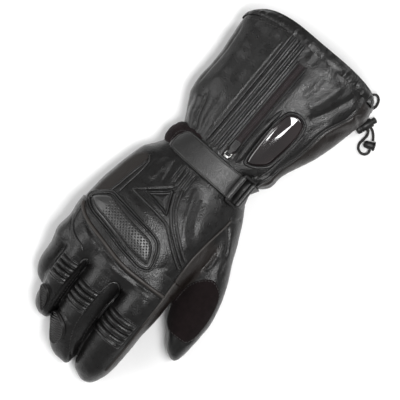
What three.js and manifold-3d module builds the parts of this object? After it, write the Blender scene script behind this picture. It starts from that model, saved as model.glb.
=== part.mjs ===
// A right-hand leather gauntlet glove, lying palm down with its fingers along +Y.
// Millimetres, +Z up. x = 0, y = 0 is the middle of the wrist strap until the last lines,
// which move the glove's box to stand on z = 0 with its middle over the origin.
import * as THREE from 'three';
import { mergeVertices } from 'three/addons/utils/BufferGeometryUtils.js';
import Module from 'manifold-3d';

const wasm = await Module();
wasm.setup();
const { Manifold, Mesh } = wasm;

// Driving sizes
const HAND_LENGTH = 222; // strap's middle to the middle fingertip
const HAND_WIDTH = 118; // across the knuckles
const HAND_HEIGHT = 62; // knuckles above the table
const CUFF_LENGTH = 143; // wrist seam to the back of the hem
const CUFF_WIDTH = 130; // hem, side to side
const CUFF_HEIGHT = 55; // hem's back above the table
const HAND_WALL = 3; // padded leather
const CUFF_WALL = 2.5;
const GAP = 0.3; // between neighbouring pieces
const WRIST_SEAM_Y = 4; // where cuff and hand are sewn, under the strap
const SOLE_SINK = 2.5; // how much of the round underside is pressed flat

// Padded and stitched details
const WELT_WIDTH = 2.6;
const WELT_RISE = 1.5;
const RIDGE_WIDTH = 2.8;
const RIDGE_RISE = 1.6;
const PAD_RISE = 3.2;
const RIB_BASE = 0.8;
const RIB_RISE = 2.6;
const RIB_PITCH = 6;
const RIB_WIDTH = 3.8;
const SLIDER_RISE = 2.4;
const PATCH_RISE = 0.9;
const HEM_BOW = 15; // how far the back of the hem reaches past its sides
const HEM_SKEW = 0.33; // more of that on the little-finger side
const HEM_BULGE = 1.4; // casing's outside beyond the cuff's
const GATHER_COUNT = 24;
const GATHER_DEPTH = 0.9;

// Strap
const STRAP_WIDTH = 24.5;
const STRAP_MIDDLE_Y = 7.2;
const STRAP_THICKNESS = 2.2;
const STRAP_BASE_THICKNESS = 1.6;
const STRAP_TIP_X = 40;
const RING_INSET = 0.5; // ring's outer bar to the wrist's edge, in plan
const STRAP_BASE_END_Z = 11;
const STRAP_BASE_FLARE = 6; // how much wider the pile-faced run is beyond the strap's tip
const RING_WIRE = 2.6;
const RING_REACH = 11; // between the ring's two bars, in plan
const ANCHOR_PLATE = 2.6;
const RING_MARGIN = 2; // ring's end bars beyond the strap's edges
const ROLL_WALL = 1.1; // leather around the ring's bars
const ROLL_LIFT = 1.2;
const ANCHOR_END_Z = 8;

// Zip and window
const ZIP_X = -5.5;
const ZIP_TAPE_WIDTH = 8.6;
const ZIP_TAPE_THICKNESS = 0.8;
const ZIP_CHAIN_WIDTH = 3.4;
const ZIP_CHAIN_THICKNESS = 1.2;
const ZIP_START_Y = -7;
const ZIP_LENGTH = 104;
const SLIDER_WIDTH = 6.4;
const SLIDER_LENGTH = 7;
const SLIDER_THICKNESS = 1.8;
const CHEEK_THICKNESS = 0.9;
const PIN_RADIUS = 0.5;
const PIN_HEIGHT = 1.6; // above the slider's plate
const EYE_RADIUS = 1.35;
const PULL_LENGTH = 15;
const PULL_WIDTH = 6.6;
const PULL_THICKNESS = 1.3;
const WINDOW_RISE = 1.4;
const FRAME_WIDTH = 2.6;
const FRAME_RISE = 1.7;

// Draw cord and its lock
const CORD_DIAMETER = 2.5;
const LOCK_LENGTH = 16;
const LOCK_RADIUS = 4.3;
const LOCK_WALL = 1.2;
const LOCK_HOLE_SETBACK = 3.2; // first cord hole to the lock's open end
const LOCK_HOLE_PITCH = 3;
const BUTTON_REACH = 4.2;
const BUTTON_STEM = 10.5;
const BUTTON_TRAVEL = 2.5;
const CORD_END_LENGTH = 10.5;
const CORD_END_RADIUS = 3.7;
const CORD_END_FLANGE = 4.4;
const CORD_END_FLANGE_THICKNESS = 1.6;

// Facets
const PALM_SIDES = 28;
const FINGER_SIDES = 14;
const CUFF_SIDES = 28;
const HOLLOW_SIDES = 12;
const FACET_TOLERANCE = 0.06;

// Sections of the palm, wrist to finger roots.
// y: share of HAND_LENGTH. left, right: shares of HAND_WIDTH. bottom, top: shares of HAND_HEIGHT.
const PALM_SECTIONS = [
  { y: 0.018, left: -0.347, right: 0.364, bottom: 0, top: 0.73 },
  { y: 0.1, left: -0.39, right: 0.415, bottom: 0, top: 0.77 },
  { y: 0.15, left: -0.405, right: 0.48, bottom: 0, top: 0.81 },
  { y: 0.21, left: -0.425, right: 0.52, bottom: 0, top: 0.87 },
  { y: 0.28, left: -0.44, right: 0.545, bottom: 0, top: 0.93 },
  { y: 0.36, left: -0.452, right: 0.565, bottom: 0.01, top: 0.98 },
  { y: 0.45, left: -0.43, right: 0.57, bottom: 0.05, top: 1 },
  { y: 0.53, left: -0.418, right: 0.568, bottom: 0.11, top: 0.99 },
  { y: 0.59, left: -0.415, right: 0.573, bottom: 0.17, top: 0.94 },
  { y: 0.62, left: -0.395, right: 0.555, bottom: 0.24, top: 0.87 },
  { y: 0.635, left: -0.34, right: 0.49, bottom: 0.36, top: 0.74 },
];

// Sections of the thumb, wrist to tip, with the same shares as the palm's.
const THUMB_SECTIONS = [
  { y: 0.06, left: -0.36, right: -0.2, bottom: 0.05, top: 0.36 },
  { y: 0.1, left: -0.43, right: -0.22, bottom: 0, top: 0.48 },
  { y: 0.18, left: -0.517, right: -0.24, bottom: 0, top: 0.58 },
  { y: 0.27, left: -0.597, right: -0.27, bottom: 0, top: 0.62 },
  { y: 0.36, left: -0.688, right: -0.34, bottom: 0, top: 0.61 },
  { y: 0.45, left: -0.746, right: -0.415, bottom: 0, top: 0.58 },
  { y: 0.54, left: -0.77, right: -0.43, bottom: 0, top: 0.55 },
  { y: 0.61, left: -0.775, right: -0.485, bottom: 0, top: 0.52 },
  { y: 0.66, left: -0.77, right: -0.555, bottom: 0, top: 0.47 },
  { y: 0.7, left: -0.757, right: -0.625, bottom: 0.02, top: 0.38 },
  { y: 0.718, left: -0.74, right: -0.68, bottom: 0.1, top: 0.27 },
];

// Finger shapes shared by all four, root to tip.
// along: share of the finger's length. width: share of its width. lean: share of its lean.
// bottom, top: shares of the finger's root height above the table.
const FINGER_SECTIONS = [
  { along: 0, width: 0.9, lean: 0, bottom: 0.32, top: 0.92 },
  { along: 0.16, width: 1, lean: 0, bottom: 0.3, top: 0.98 },
  { along: 0.3, width: 1, lean: 0.02, bottom: 0.25, top: 0.96 },
  { along: 0.45, width: 1, lean: 0.1, bottom: 0.17, top: 0.9 },
  { along: 0.6, width: 0.99, lean: 0.25, bottom: 0.08, top: 0.81 },
  { along: 0.74, width: 0.94, lean: 0.48, bottom: 0.02, top: 0.69 },
  { along: 0.85, width: 0.84, lean: 0.7, bottom: 0, top: 0.56 },
  { along: 0.93, width: 0.66, lean: 0.87, bottom: 0, top: 0.44 },
  { along: 0.98, width: 0.44, lean: 0.97, bottom: 0.04, top: 0.33 },
  { along: 1, width: 0.22, lean: 1, bottom: 0.1, top: 0.25 },
];

// Fingers, with x, width and lean as shares of HAND_WIDTH, root and tip of HAND_LENGTH,
// and the root's height of HAND_HEIGHT.
const FINGERS = [
  { name: 'index', x: -0.249, width: 0.346, lean: -0.03, root: 0.47, tip: 0.998, height: 0.95 },
  { name: 'middle', x: 0.072, width: 0.335, lean: -0.1, root: 0.47, tip: 1.004, height: 1 },
  { name: 'ring', x: 0.326, width: 0.26, lean: -0.045, root: 0.46, tip: 0.914, height: 0.93 },
  { name: 'little', x: 0.49, width: 0.19, lean: -0.06, root: 0.44, tip: 0.815, height: 0.8 },
];

// Lines in plan between neighbouring fingers, root to tip, as shares of HAND_WIDTH and HAND_LENGTH.
const FINGER_PARTINGS = [
  [[-0.7, 0.4], [-0.7, 1.1]],
  [[-0.082, 0.4], [-0.082, 0.83], [-0.12, 0.9], [-0.185, 0.98], [-0.24, 1.1]],
  [[0.225, 0.4], [0.225, 0.68], [0.212, 0.8], [0.192, 0.92], [0.18, 1.1]],
  [[0.43, 0.4], [0.43, 0.66], [0.41, 0.76], [0.37, 0.85], [0.3, 1.1]],
  [[0.8, 0.4], [0.8, 1.1]],
];

// The knuckle seam's line in plan, index side to little finger, with the same shares.
const KNUCKLE_LINE = [
  [-0.6, 0.541], [-0.36, 0.543], [-0.17, 0.547], [0, 0.547], [0.1, 0.541],
  [0.2, 0.53], [0.34, 0.513], [0.44, 0.498], [0.52, 0.475], [0.56, 0.45], [0.62, 0.42],
];

// Sections of the cuff, wrist seam to hem.
// along: share of CUFF_LENGTH. left, right: shares of CUFF_WIDTH. top: share of CUFF_HEIGHT.
const CUFF_SECTIONS = [
  { along: 0, left: -0.315, right: 0.33, top: 0.823 },
  { along: 0.06, left: -0.35, right: 0.315, top: 0.82 },
  { along: 0.13, left: -0.4, right: 0.345, top: 0.835 },
  { along: 0.22, left: -0.418, right: 0.4, top: 0.87 },
  { along: 0.31, left: -0.447, right: 0.438, top: 0.905 },
  { along: 0.42, left: -0.492, right: 0.447, top: 0.94 },
  { along: 0.53, left: -0.537, right: 0.44, top: 0.965 },
  { along: 0.64, left: -0.567, right: 0.437, top: 0.985 },
  { along: 0.75, left: -0.588, right: 0.45, top: 1 },
  { along: 0.86, left: -0.595, right: 0.465, top: 1 },
  { along: 0.94, left: -0.587, right: 0.473, top: 0.99 },
];
const HEM_SECTIONS = [
  { along: 0.943, left: -0.587, right: 0.473, top: 0.99 },
  { along: 0.972, left: -0.584, right: 0.468, top: 0.985 },
  { along: 1, left: -0.562, right: 0.45, top: 0.96 },
];

// Dents and creases of the leather. y and along: shares of HAND_LENGTH and CUFF_LENGTH.
// turn: share of the way round from the little-finger side over the back. depth: millimetres.
// spread: share of the way round. length: share of the same length as y or along.
const PALM_FOLDS = [
  { at: 0.11, turn: 0.215, depth: 1.6, spread: 0.018, length: 0.05 },
  { at: 0.16, turn: 0.33, depth: 1.5, spread: 0.03, length: 0.07 },
  { at: 0.17, turn: 0.12, depth: 1.8, spread: 0.03, length: 0.06 },
  { at: 0.3, turn: 0.36, depth: 1.2, spread: 0.04, length: 0.08 },
];
const THUMB_FOLDS = [
  { at: 0.16, turn: 0.36, depth: 2.4, spread: 0.04, length: 0.05 },
  { at: 0.3, turn: 0.3, depth: 1.6, spread: 0.05, length: 0.06 },
  { at: 0.6, turn: 0.4, depth: 1.2, spread: 0.06, length: 0.03 },
];
const CUFF_FOLDS = [
  { at: 0.15, turn: 0.1, depth: 2.6, spread: 0.03, length: 0.07 },
  { at: 0.11, turn: 0.17, depth: 1.4, spread: 0.025, length: 0.05 },
  { at: 0.13, turn: 0.4, depth: 2, spread: 0.03, length: 0.06 },
  { at: 0.6, turn: 0.36, depth: 1.5, spread: 0.04, length: 0.12 },
  { at: 0.86, turn: 0.34, depth: 1.4, spread: 0.025, length: 0.06 },
  { at: 0.85, turn: 0.41, depth: 1.6, spread: 0.025, length: 0.06 },
];

const plan = (x, y) => new THREE.Vector2(x * HAND_WIDTH, y * HAND_LENGTH);
const cuffPlan = (x, y) => new THREE.Vector2(x * CUFF_WIDTH, -y * CUFF_LENGTH);

// Solids

function solid(geometry) {
  const bare = new THREE.BufferGeometry();
  bare.setAttribute('position', geometry.getAttribute('position'));
  bare.setIndex(geometry.getIndex());
  const merged = mergeVertices(bare, 1e-4);
  return new Manifold(new Mesh({
    numProp: 3,
    vertProperties: new Float32Array(merged.getAttribute('position').array),
    triVerts: new Uint32Array(merged.getIndex().array),
  }));
}

function geometryOf(body) {
  const mesh = body.getMesh();
  const geometry = new THREE.BufferGeometry();
  const positions = new Float32Array((mesh.vertProperties.length / mesh.numProp) * 3);
  for (let i = 0; i < positions.length / 3; i += 1) {
    positions.set(mesh.vertProperties.subarray(i * mesh.numProp, i * mesh.numProp + 3), i * 3);
  }
  geometry.setAttribute('position', new THREE.BufferAttribute(positions, 3));
  geometry.setIndex(new THREE.BufferAttribute(new Uint32Array(mesh.triVerts), 1));
  geometry.computeVertexNormals();
  return geometry;
}

// A closed solid through rings of equal length, each ring anticlockwise seen from the far end.
function loft(rings) {
  const count = rings[0].length;
  const points = rings.flat();
  const index = [];
  for (let i = 0; i + 1 < rings.length; i += 1) {
    for (let j = 0; j < count; j += 1) {
      const next = (j + 1) % count;
      const a = i * count + j;
      const b = i * count + next;
      index.push(a, a + count, b, b, a + count, b + count);
    }
  }
  const middle = (ring) => ring.reduce((sum, p) => sum.add(p), new THREE.Vector3()).divideScalar(count);
  const last = (rings.length - 1) * count;
  points.push(middle(rings[0]), middle(rings[rings.length - 1]));
  for (let j = 0; j < count; j += 1) {
    const next = (j + 1) % count;
    index.push(points.length - 2, j, next);
    index.push(points.length - 1, last + next, last + j);
  }
  const geometry = new THREE.BufferGeometry().setFromPoints(points);
  geometry.setIndex(index);
  const body = solid(geometry);
  return body.volume() < 0 ? solid(flipped(geometry)) : body;
}

function flipped(geometry) {
  const turned = geometry.clone();
  const index = turned.getIndex();
  for (let i = 0; i < index.count; i += 3) {
    const first = index.getX(i);
    index.setX(i, index.getX(i + 1));
    index.setX(i + 1, first);
  }
  return turned;
}

function prism(outline, low, high) {
  const shape = new THREE.Shape(outline);
  const geometry = new THREE.ExtrudeGeometry(shape, { depth: high - low, bevelEnabled: false });
  return solid(geometry.translate(0, 0, low));
}

function block(x0, x1, y0, y1, z0, z1) {
  const geometry = new THREE.BoxGeometry(x1 - x0, y1 - y0, z1 - z0);
  return solid(geometry.translate((x0 + x1) / 2, (y0 + y1) / 2, (z0 + z1) / 2));
}

function rod(from, to, radius, sides = 16) {
  const along = to.clone().sub(from);
  const geometry = new THREE.CylinderGeometry(radius, radius, along.length(), sides);
  const turn = new THREE.Quaternion().setFromUnitVectors(
    new THREE.Vector3(0, 1, 0), along.clone().normalize());
  geometry.applyQuaternion(turn).translate(...from.clone().add(to).multiplyScalar(0.5).toArray());
  return solid(geometry);
}

const bell = (distance, width) => Math.exp(-((distance / width) ** 2));

// Depth of the folds that reach a point of a section.
function pressed(section, turn) {
  const folds = section.folds ?? [];
  return folds.reduce((sum, fold) => sum
    + fold.depth * bell(turn - fold.turn, fold.spread) * bell(section.share - fold.at, fold.length), 0);
}

// A round-sided ring in the plane y, pressed flat where it meets the table.
function ring(section, sides, grow) {
  const points = [];
  const middleX = (section.left + section.right) / 2;
  const half = (section.right - section.left) / 2 + grow;
  const top = section.top + grow;
  const bottom = section.bottom - grow - SOLE_SINK;
  const waist = section.bottom + (section.top - section.bottom) * 0.42;
  for (let j = 0; j < sides; j += 1) {
    const angle = (j / sides) * 2 * Math.PI;
    const c = Math.cos(angle);
    const s = Math.sin(angle);
    const dent = pressed(section, j / sides);
    const x = middleX + half * Math.sign(c) * Math.abs(c) ** 0.86 - dent * c;
    const reach = s > 0 ? top - waist : waist - bottom;
    const z = waist + reach * Math.sign(s) * Math.abs(s) ** 0.9 - dent * s;
    const floor = Math.max(0, -grow);
    const bow = (section.bow ?? 0) * (1 - Math.max(s, 0)) * (1 + HEM_SKEW * c);
    points.push(new THREE.Vector3(x, section.y + bow, Math.max(z, floor)));
  }
  return points;
}

// The hand's limbs, each a loft whose skin can be grown outwards or, for its hollow, inwards

function handSections(rows, folds) {
  return rows.map((row) => ({
    share: row.y,
    folds,
    y: row.y * HAND_LENGTH,
    left: row.left * HAND_WIDTH,
    right: row.right * HAND_WIDTH,
    bottom: row.bottom * HAND_HEIGHT,
    top: row.top * HAND_HEIGHT,
  }));
}

function fingerSections(finger) {
  const root = finger.root * HAND_LENGTH;
  const length = finger.tip * HAND_LENGTH - root;
  const height = finger.height * HAND_HEIGHT;
  return FINGER_SECTIONS.map((row) => {
    const middle = (finger.x + finger.lean * row.lean) * HAND_WIDTH;
    const half = (finger.width * HAND_WIDTH * row.width) / 2;
    return {
      y: root + length * row.along,
      left: middle - half,
      right: middle + half,
      bottom: row.bottom * height,
      top: row.top * height,
    };
  });
}

// Ends are moved by the growth too, so that a hollow keeps its wall at the tip.
function limb(sections, sides, grow, openRoot) {
  const first = sections[0].y;
  const last = sections[sections.length - 1].y;
  const kept = sections.filter((section) => {
    const room = Math.min(section.right - section.left, section.top - section.bottom + SOLE_SINK) / 2;
    return room + grow > 1.5;
  });
  const stretch = (last - first + grow) / (last - first);
  const rings = kept.map((section) => {
    const y = first + (section.y - first) * stretch;
    return ring({ ...section, y }, sides, grow);
  });
  if (openRoot) {
    rings.unshift(ring({ ...sections[0], y: first - openRoot }, sides, grow));
  }
  return loft(rings);
}

const palmRows = handSections(PALM_SECTIONS, PALM_FOLDS);
palmRows[0].y = WRIST_SEAM_Y + GAP / 2;
const thumbRows = handSections(THUMB_SECTIONS, THUMB_FOLDS);
const fingerRows = FINGERS.map(fingerSections);
const sidesFor = (sides, grow) => (grow < 0 ? Math.min(sides, HOLLOW_SIDES) : sides);
const palmLimb = (grow) => limb(palmRows, sidesFor(PALM_SIDES, grow), grow, grow < 0 ? 2 : 0);
const thumbLimb = (grow) => limb(thumbRows, sidesFor(FINGER_SIDES, grow), grow, 0);
const fingerLimb = (i, grow) => limb(fingerRows[i], sidesFor(FINGER_SIDES, grow), grow, 0);

function remembered(make) {
  const made = new Map();
  return (key) => {
    const name = key.toFixed(3);
    if (!made.has(name)) {
      made.set(name, make(key));
    }
    return made.get(name);
  };
}

const handSkin = remembered((grow) => {
  const limbs = [palmLimb(grow), thumbLimb(grow), ...FINGERS.map((_, i) => fingerLimb(i, grow))];
  return Manifold.union(limbs);
});

// The cuff's skin, a loft that runs a little past its ends for cutting

function cuffSections(rows) {
  return rows.map((row) => ({
    share: row.along,
    folds: CUFF_FOLDS,
    y: WRIST_SEAM_Y - GAP / 2 - row.along * (CUFF_LENGTH - HEM_BOW) - HEM_BOW * row.along ** 3,
    bow: HEM_BOW * row.along ** 3,
    left: row.left * CUFF_WIDTH,
    right: row.right * CUFF_WIDTH,
    bottom: 0,
    top: row.top * CUFF_HEIGHT,
  }));
}

const cuffRows = cuffSections(CUFF_SECTIONS);
const hemRows = cuffSections(HEM_SECTIONS);

function cuffTube(rows, outer, inner, overrun) {
  const rings = (grow, extra) => {
    const sides = sidesFor(CUFF_SIDES, grow);
    const around = rows.map((section) => ring(section, sides, grow));
    if (extra) {
      around.unshift(ring({ ...rows[0], y: rows[0].y + extra }, sides, grow));
      const end = rows[rows.length - 1];
      around.push(ring({ ...end, y: end.y - extra }, sides, grow));
    }
    return around;
  };
  const body = loft(rings(outer, overrun));
  return inner === null ? body : body.subtract(loft(rings(inner, 2)));
}

const cuffSkin = remembered((grow) => cuffTube([...cuffRows, hemRows[1], hemRows[2]], grow, null, 1));
const wristSkin = remembered((grow) => handSkin(grow).add(cuffSkin(grow)));

// Plan outlines

function smooth(points, steps) {
  return new THREE.SplineCurve(points).getPoints(steps);
}

// A band of one width along a line in plan.
function ribbon(points, width, steps = points.length * 2) {
  const line = smooth(points, steps);
  const sides = [[], []];
  line.forEach((point, i) => {
    const before = line[Math.max(i - 1, 0)];
    const after = line[Math.min(i + 1, line.length - 1)];
    const across = after.clone().sub(before).normalize();
    across.set(-across.y, across.x).multiplyScalar(width / 2);
    sides[0].push(point.clone().add(across));
    sides[1].push(point.clone().sub(across));
  });
  return [...sides[0], ...sides[1].reverse()];
}

// The stretch of skin inside a plan outline, between two heights above the leather.
function draped(skin, outline, from, to, low = 12, high = 120) {
  return skin(to).subtract(skin(from)).intersect(prism(outline, low, high));
}

function along(rows, map) {
  return rows.map(([x, y]) => map(x, y));
}

// The largest closed piece, since a drape over a fold can leave crumbs.
function whole(body) {
  const pieces = body.decompose();
  pieces.sort((a, b) => b.volume() - a.volume());
  return pieces[0].simplify(FACET_TOLERANCE);
}

const materials = {
  leather: { color: 0x2b2a2a, roughness: 0.55, metalness: 0 },
  smoothLeather: { color: 0x38332f, roughness: 0.5, metalness: 0 },
  panel: { color: 0x332f2d, roughness: 0.75, metalness: 0 },
  suede: { color: 0x231c1d, roughness: 0.95, metalness: 0 },
  strap: { color: 0x3a3938, roughness: 0.5, metalness: 0 },
  pile: { color: 0x1f1819, roughness: 1, metalness: 0 },
  plastic: { color: 0x1d1c1c, roughness: 0.4, metalness: 0 },
  zip: { color: 0x241d1e, roughness: 0.7, metalness: 0 },
  metal: { color: 0xb8b8b6, roughness: 0.3, metalness: 1 },
  gloss: { color: 0x151213, roughness: 0.08, metalness: 0 },
  cord: { color: 0x1e1b1a, roughness: 0.8, metalness: 0 },
};

const glove = new THREE.Group();

function add(name, body, look) {
  const geometry = body instanceof THREE.BufferGeometry ? body : geometryOf(body);
  const mesh = new THREE.Mesh(geometry, new THREE.MeshStandardMaterial(materials[look]));
  mesh.name = name;
  glove.add(mesh);
  return mesh;
}

// Regions that share the hand out between its pieces

const knuckleLine = smooth(along(KNUCKLE_LINE, plan), 20);

function beyondKnuckles(shift) {
  const line = knuckleLine.map((p) => new THREE.Vector2(p.x, p.y + shift));
  const far = HAND_LENGTH * 1.3;
  const outline = [...line, new THREE.Vector2(line[line.length - 1].x, far), new THREE.Vector2(line[0].x, far)];
  return prism(outline, -20, 140);
}

const THUMB_CUT = [plan(-0.405, 0.522), plan(-0.7, 0.3)];

// Left of the thumb's root seam, which runs from the web of the thumb to its outer edge.
function thumbSide(shift) {
  const run = THUMB_CUT[1].clone().sub(THUMB_CUT[0]).normalize();
  const out = new THREE.Vector2(run.y, -run.x);
  const corner = (reach, side) => THUMB_CUT[0].clone()
    .addScaledVector(run, reach)
    .addScaledVector(out, shift + side);
  return prism([corner(-90, 0), corner(120, 0), corner(120, 150), corner(-90, 150)], -20, 140);
}

function slotBetween(left, right, inset) {
  const a = along(FINGER_PARTINGS[left], plan).map((p) => p.add(new THREE.Vector2(inset, 0)));
  const b = along(FINGER_PARTINGS[right], plan).map((p) => p.add(new THREE.Vector2(-inset, 0)));
  return prism([...a, ...b.reverse()], -20, 140);
}

function addHand() {
  const palmHollow = palmLimb(-HAND_WALL);
  const thumbHollow = thumbLimb(-HAND_WALL);
  const palm = palmLimb(0)
    .add(thumbLimb(0).subtract(thumbSide(-GAP / 2)))
    .subtract(palmHollow)
    .subtract(thumbHollow)
    .subtract(beyondKnuckles(-GAP / 2));
  add('palm_shell', whole(palm), 'leather');
  const thumb = thumbLimb(0)
    .intersect(thumbSide(GAP / 2))
    .subtract(thumbHollow)
    .subtract(palmLimb(GAP));
  add('thumb', whole(thumb), 'leather');
  FINGERS.forEach((finger, i) => {
    const shape = palmLimb(0)
      .add(fingerLimb(i, 0))
      .intersect(slotBetween(i, i + 1, GAP / 2))
      .intersect(beyondKnuckles(GAP / 2))
      .subtract(palmHollow)
      .subtract(fingerLimb(i, -HAND_WALL).intersect(slotBetween(i, i + 1, HAND_WALL)))
      .subtract(thumbLimb(GAP));
    add(`${finger.name}_finger`, whole(shape), 'leather');
  });
}

// Trim on the back of the hand, drawn in plan and draped over the leather

const PAD_OUTLINE = [
  [-0.119, 0.486], [-0.05, 0.492], [0.085, 0.486], [0.25, 0.466], [0.36, 0.455], [0.46, 0.449],
  [0.52, 0.425], [0.5, 0.4], [0.44, 0.366], [0.34, 0.368], [0.17, 0.388], [0, 0.396],
  [-0.07, 0.415], [-0.105, 0.45],
];
const PAD_RIM_GAP = 1.2;
const PAD_RIM_WIDTH = 3;

// Stitched ridges that run from the index side to the wrist, and the triangle between them.
const RIDGE_LINES = [
  [[-0.32, 0.425], [-0.25, 0.403], [-0.17, 0.373], [-0.08, 0.336], [0, 0.315], [0.17, 0.304], [0.33, 0.295]],
  [[-0.32, 0.403], [-0.25, 0.382], [-0.17, 0.351], [-0.085, 0.315], [-0.03, 0.286], [0.028, 0.24], [0.068, 0.2]],
  [[-0.32, 0.381], [-0.25, 0.362], [-0.17, 0.329], [-0.09, 0.292], [-0.03, 0.255], [0.01, 0.205], [0.03, 0.17]],
];
const TRIANGLE = [[0.02, 0.285], [0.09, 0.205], [0.26, 0.272]];
const EDGE_LINE = [
  [-0.385, 0.5], [-0.375, 0.45], [-0.362, 0.4], [-0.35, 0.36], [-0.352, 0.27], [-0.375, 0.18], [-0.372, 0.14],
];
const SIDE_PANEL = [
  [0.45, 0.34], [0.5, 0.357], [0.525, 0.362], [0.535, 0.34], [0.525, 0.28], [0.51, 0.23], [0.475, 0.18],
  [0.43, 0.155], [0.395, 0.165], [0.39, 0.195], [0.415, 0.25], [0.44, 0.31],
];
const THUMB_PATCH = [
  [-0.737, 0.608], [-0.703, 0.635], [-0.525, 0.635], [-0.466, 0.59], [-0.432, 0.54], [-0.424, 0.505],
  [-0.44, 0.45], [-0.483, 0.405], [-0.525, 0.378], [-0.576, 0.367], [-0.661, 0.387], [-0.703, 0.428],
  [-0.737, 0.495], [-0.746, 0.563],
];

// An outline moved outwards by a distance, in plan.
function widened(outline, distance) {
  const count = outline.length;
  const clockwise = THREE.ShapeUtils.area(outline) < 0 ? -1 : 1;
  return outline.map((point, i) => {
    const run = outline[(i + 1) % count].clone().sub(outline[(i + count - 1) % count]).normalize();
    return point.clone().add(new THREE.Vector2(run.y, -run.x).multiplyScalar(distance * clockwise));
  });
}

function addBackTrim() {
  const pad = along(PAD_OUTLINE, plan);
  add('knuckle_pad', whole(draped(handSkin, pad, GAP, GAP + PAD_RISE)), 'leather');
  const rimInside = widened(pad, PAD_RIM_GAP);
  const rim = draped(handSkin, widened(pad, PAD_RIM_GAP + PAD_RIM_WIDTH), GAP, GAP + RIDGE_RISE)
    .subtract(prism(rimInside, 0, 120));
  add('knuckle_pad_rim', whole(rim), 'leather');
  const welt = knuckleLine.filter((p) => p.x > -0.34 * HAND_WIDTH && p.x < 0.54 * HAND_WIDTH);
  add('knuckle_welt', whole(draped(handSkin, ribbon(welt, WELT_WIDTH, 14), GAP, GAP + WELT_RISE, 24)),
    'smoothLeather');
  RIDGE_LINES.forEach((line, i) => {
    const band = ribbon(along(line, plan), RIDGE_WIDTH, 10);
    add(`back_ridge_${i + 1}`, whole(draped(handSkin, band, GAP, GAP + RIDGE_RISE, 20)), 'leather');
  });
  const triangle = along(TRIANGLE, plan);
  add('back_triangle', whole(draped(handSkin, triangle, GAP, GAP + RIDGE_RISE + 0.6, 20)), 'leather');
  const edge = ribbon(along(EDGE_LINE, plan), WELT_WIDTH, 10);
  add('edge_piping', whole(draped(handSkin, edge, GAP, GAP + WELT_RISE, 14)), 'smoothLeather');
  const side = along(SIDE_PANEL, plan);
  add('side_panel', whole(draped(handSkin, side, GAP, GAP + PATCH_RISE, 20)), 'panel');
  const patch = along(THUMB_PATCH, plan);
  const suede = draped(thumbLimb, patch, GAP, GAP + PATCH_RISE, 14).subtract(palmLimb(GAP));
  add('thumb_patch', whole(suede), 'suede');
}

// Ribbed panels over the finger joints.
// y and sides as shares of HAND_LENGTH and HAND_WIDTH.
const RIB_PANELS = [
  { name: 'index', finger: 0, y: 0.752, left: -0.345, right: -0.112, turn: 0 },
  { name: 'middle', finger: 1, y: 0.738, left: 0.02, right: 0.178, turn: 0 },
  { name: 'ring', finger: 2, y: 0.708, left: 0.27, right: 0.395, turn: 0 },
];
const RIBS_PER_PANEL = 4;
const SLIDERS = [
  { name: 'middle', finger: 1, outline: [
    [0.012, 0.925], [0.01, 0.955], [0.04, 0.972], [0.085, 0.966], [0.12, 0.941], [0.16, 0.915],
    [0.18, 0.9], [0.178, 0.865], [0.15, 0.856], [0.1, 0.866], [0.055, 0.88], [0.03, 0.896]] },
  { name: 'ring', finger: 2, outline: [
    [0.262, 0.895], [0.3, 0.885], [0.335, 0.86], [0.37, 0.822], [0.372, 0.805], [0.345, 0.803],
    [0.3, 0.822], [0.275, 0.842]] },
];

function addFingerTrim() {
  for (const panel of RIB_PANELS) {
    const skin = remembered((grow) => fingerLimb(panel.finger, grow));
    const left = panel.left * HAND_WIDTH;
    const right = panel.right * HAND_WIDTH;
    const middleY = panel.y * HAND_LENGTH;
    const span = RIB_PITCH * (RIBS_PER_PANEL - 1) + RIB_WIDTH;
    const field = (y0, y1) => [
      new THREE.Vector2(left, y0), new THREE.Vector2(right, y0),
      new THREE.Vector2(right, y1), new THREE.Vector2(left, y1),
    ];
    let body = draped(skin, field(middleY - span / 2, middleY + span / 2), GAP, GAP + RIB_BASE, 24);
    for (let i = 0; i < RIBS_PER_PANEL; i += 1) {
      const y = middleY + RIB_PITCH * (i - (RIBS_PER_PANEL - 1) / 2);
      const rib = field(y - RIB_WIDTH / 2, y + RIB_WIDTH / 2);
      body = body.add(draped(skin, rib, GAP, GAP + RIB_RISE, 24));
    }
    add(`${panel.name}_ribs`, whole(body), 'leather');
  }
  for (const slider of SLIDERS) {
    const skin = remembered((grow) => fingerLimb(slider.finger, grow));
    const outline = along(slider.outline, plan);
    add(`${slider.name}_slider`, whole(draped(skin, outline, GAP, GAP + SLIDER_RISE, 6)), 'plastic');
  }
}

function addCuff() {
  add('gauntlet', whole(cuffTube(cuffRows, 0, -CUFF_WALL, 0)), 'leather');
  const gathered = (grow) => hemRows.map((section, i) => {
    const bulge = grow > 0 ? grow * [0.6, 1, 0.5][i] : grow;
    const around = ring(section, GATHER_COUNT * 2, bulge);
    return around.map((point, j) => {
      if (grow <= 0 || j % 2 === 0 || point.z < 6) {
        return point;
      }
      const middle = new THREE.Vector3((section.left + section.right) / 2, point.y, section.top / 2);
      return point.clone().add(middle.sub(point).setLength(GATHER_DEPTH));
    });
  });
  const hollow = hemRows.map((section) => ring(section, HOLLOW_SIDES, -CUFF_WALL));
  const end = hemRows[hemRows.length - 1];
  hollow.unshift(ring({ ...hemRows[0], y: hemRows[0].y + 2 }, HOLLOW_SIDES, -CUFF_WALL));
  hollow.push(ring({ ...end, y: end.y - 2 }, HOLLOW_SIDES, -CUFF_WALL));
  add('hem_binding', whole(loft(gathered(HEM_BULGE)).subtract(loft(hollow))), 'leather');
}

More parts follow.
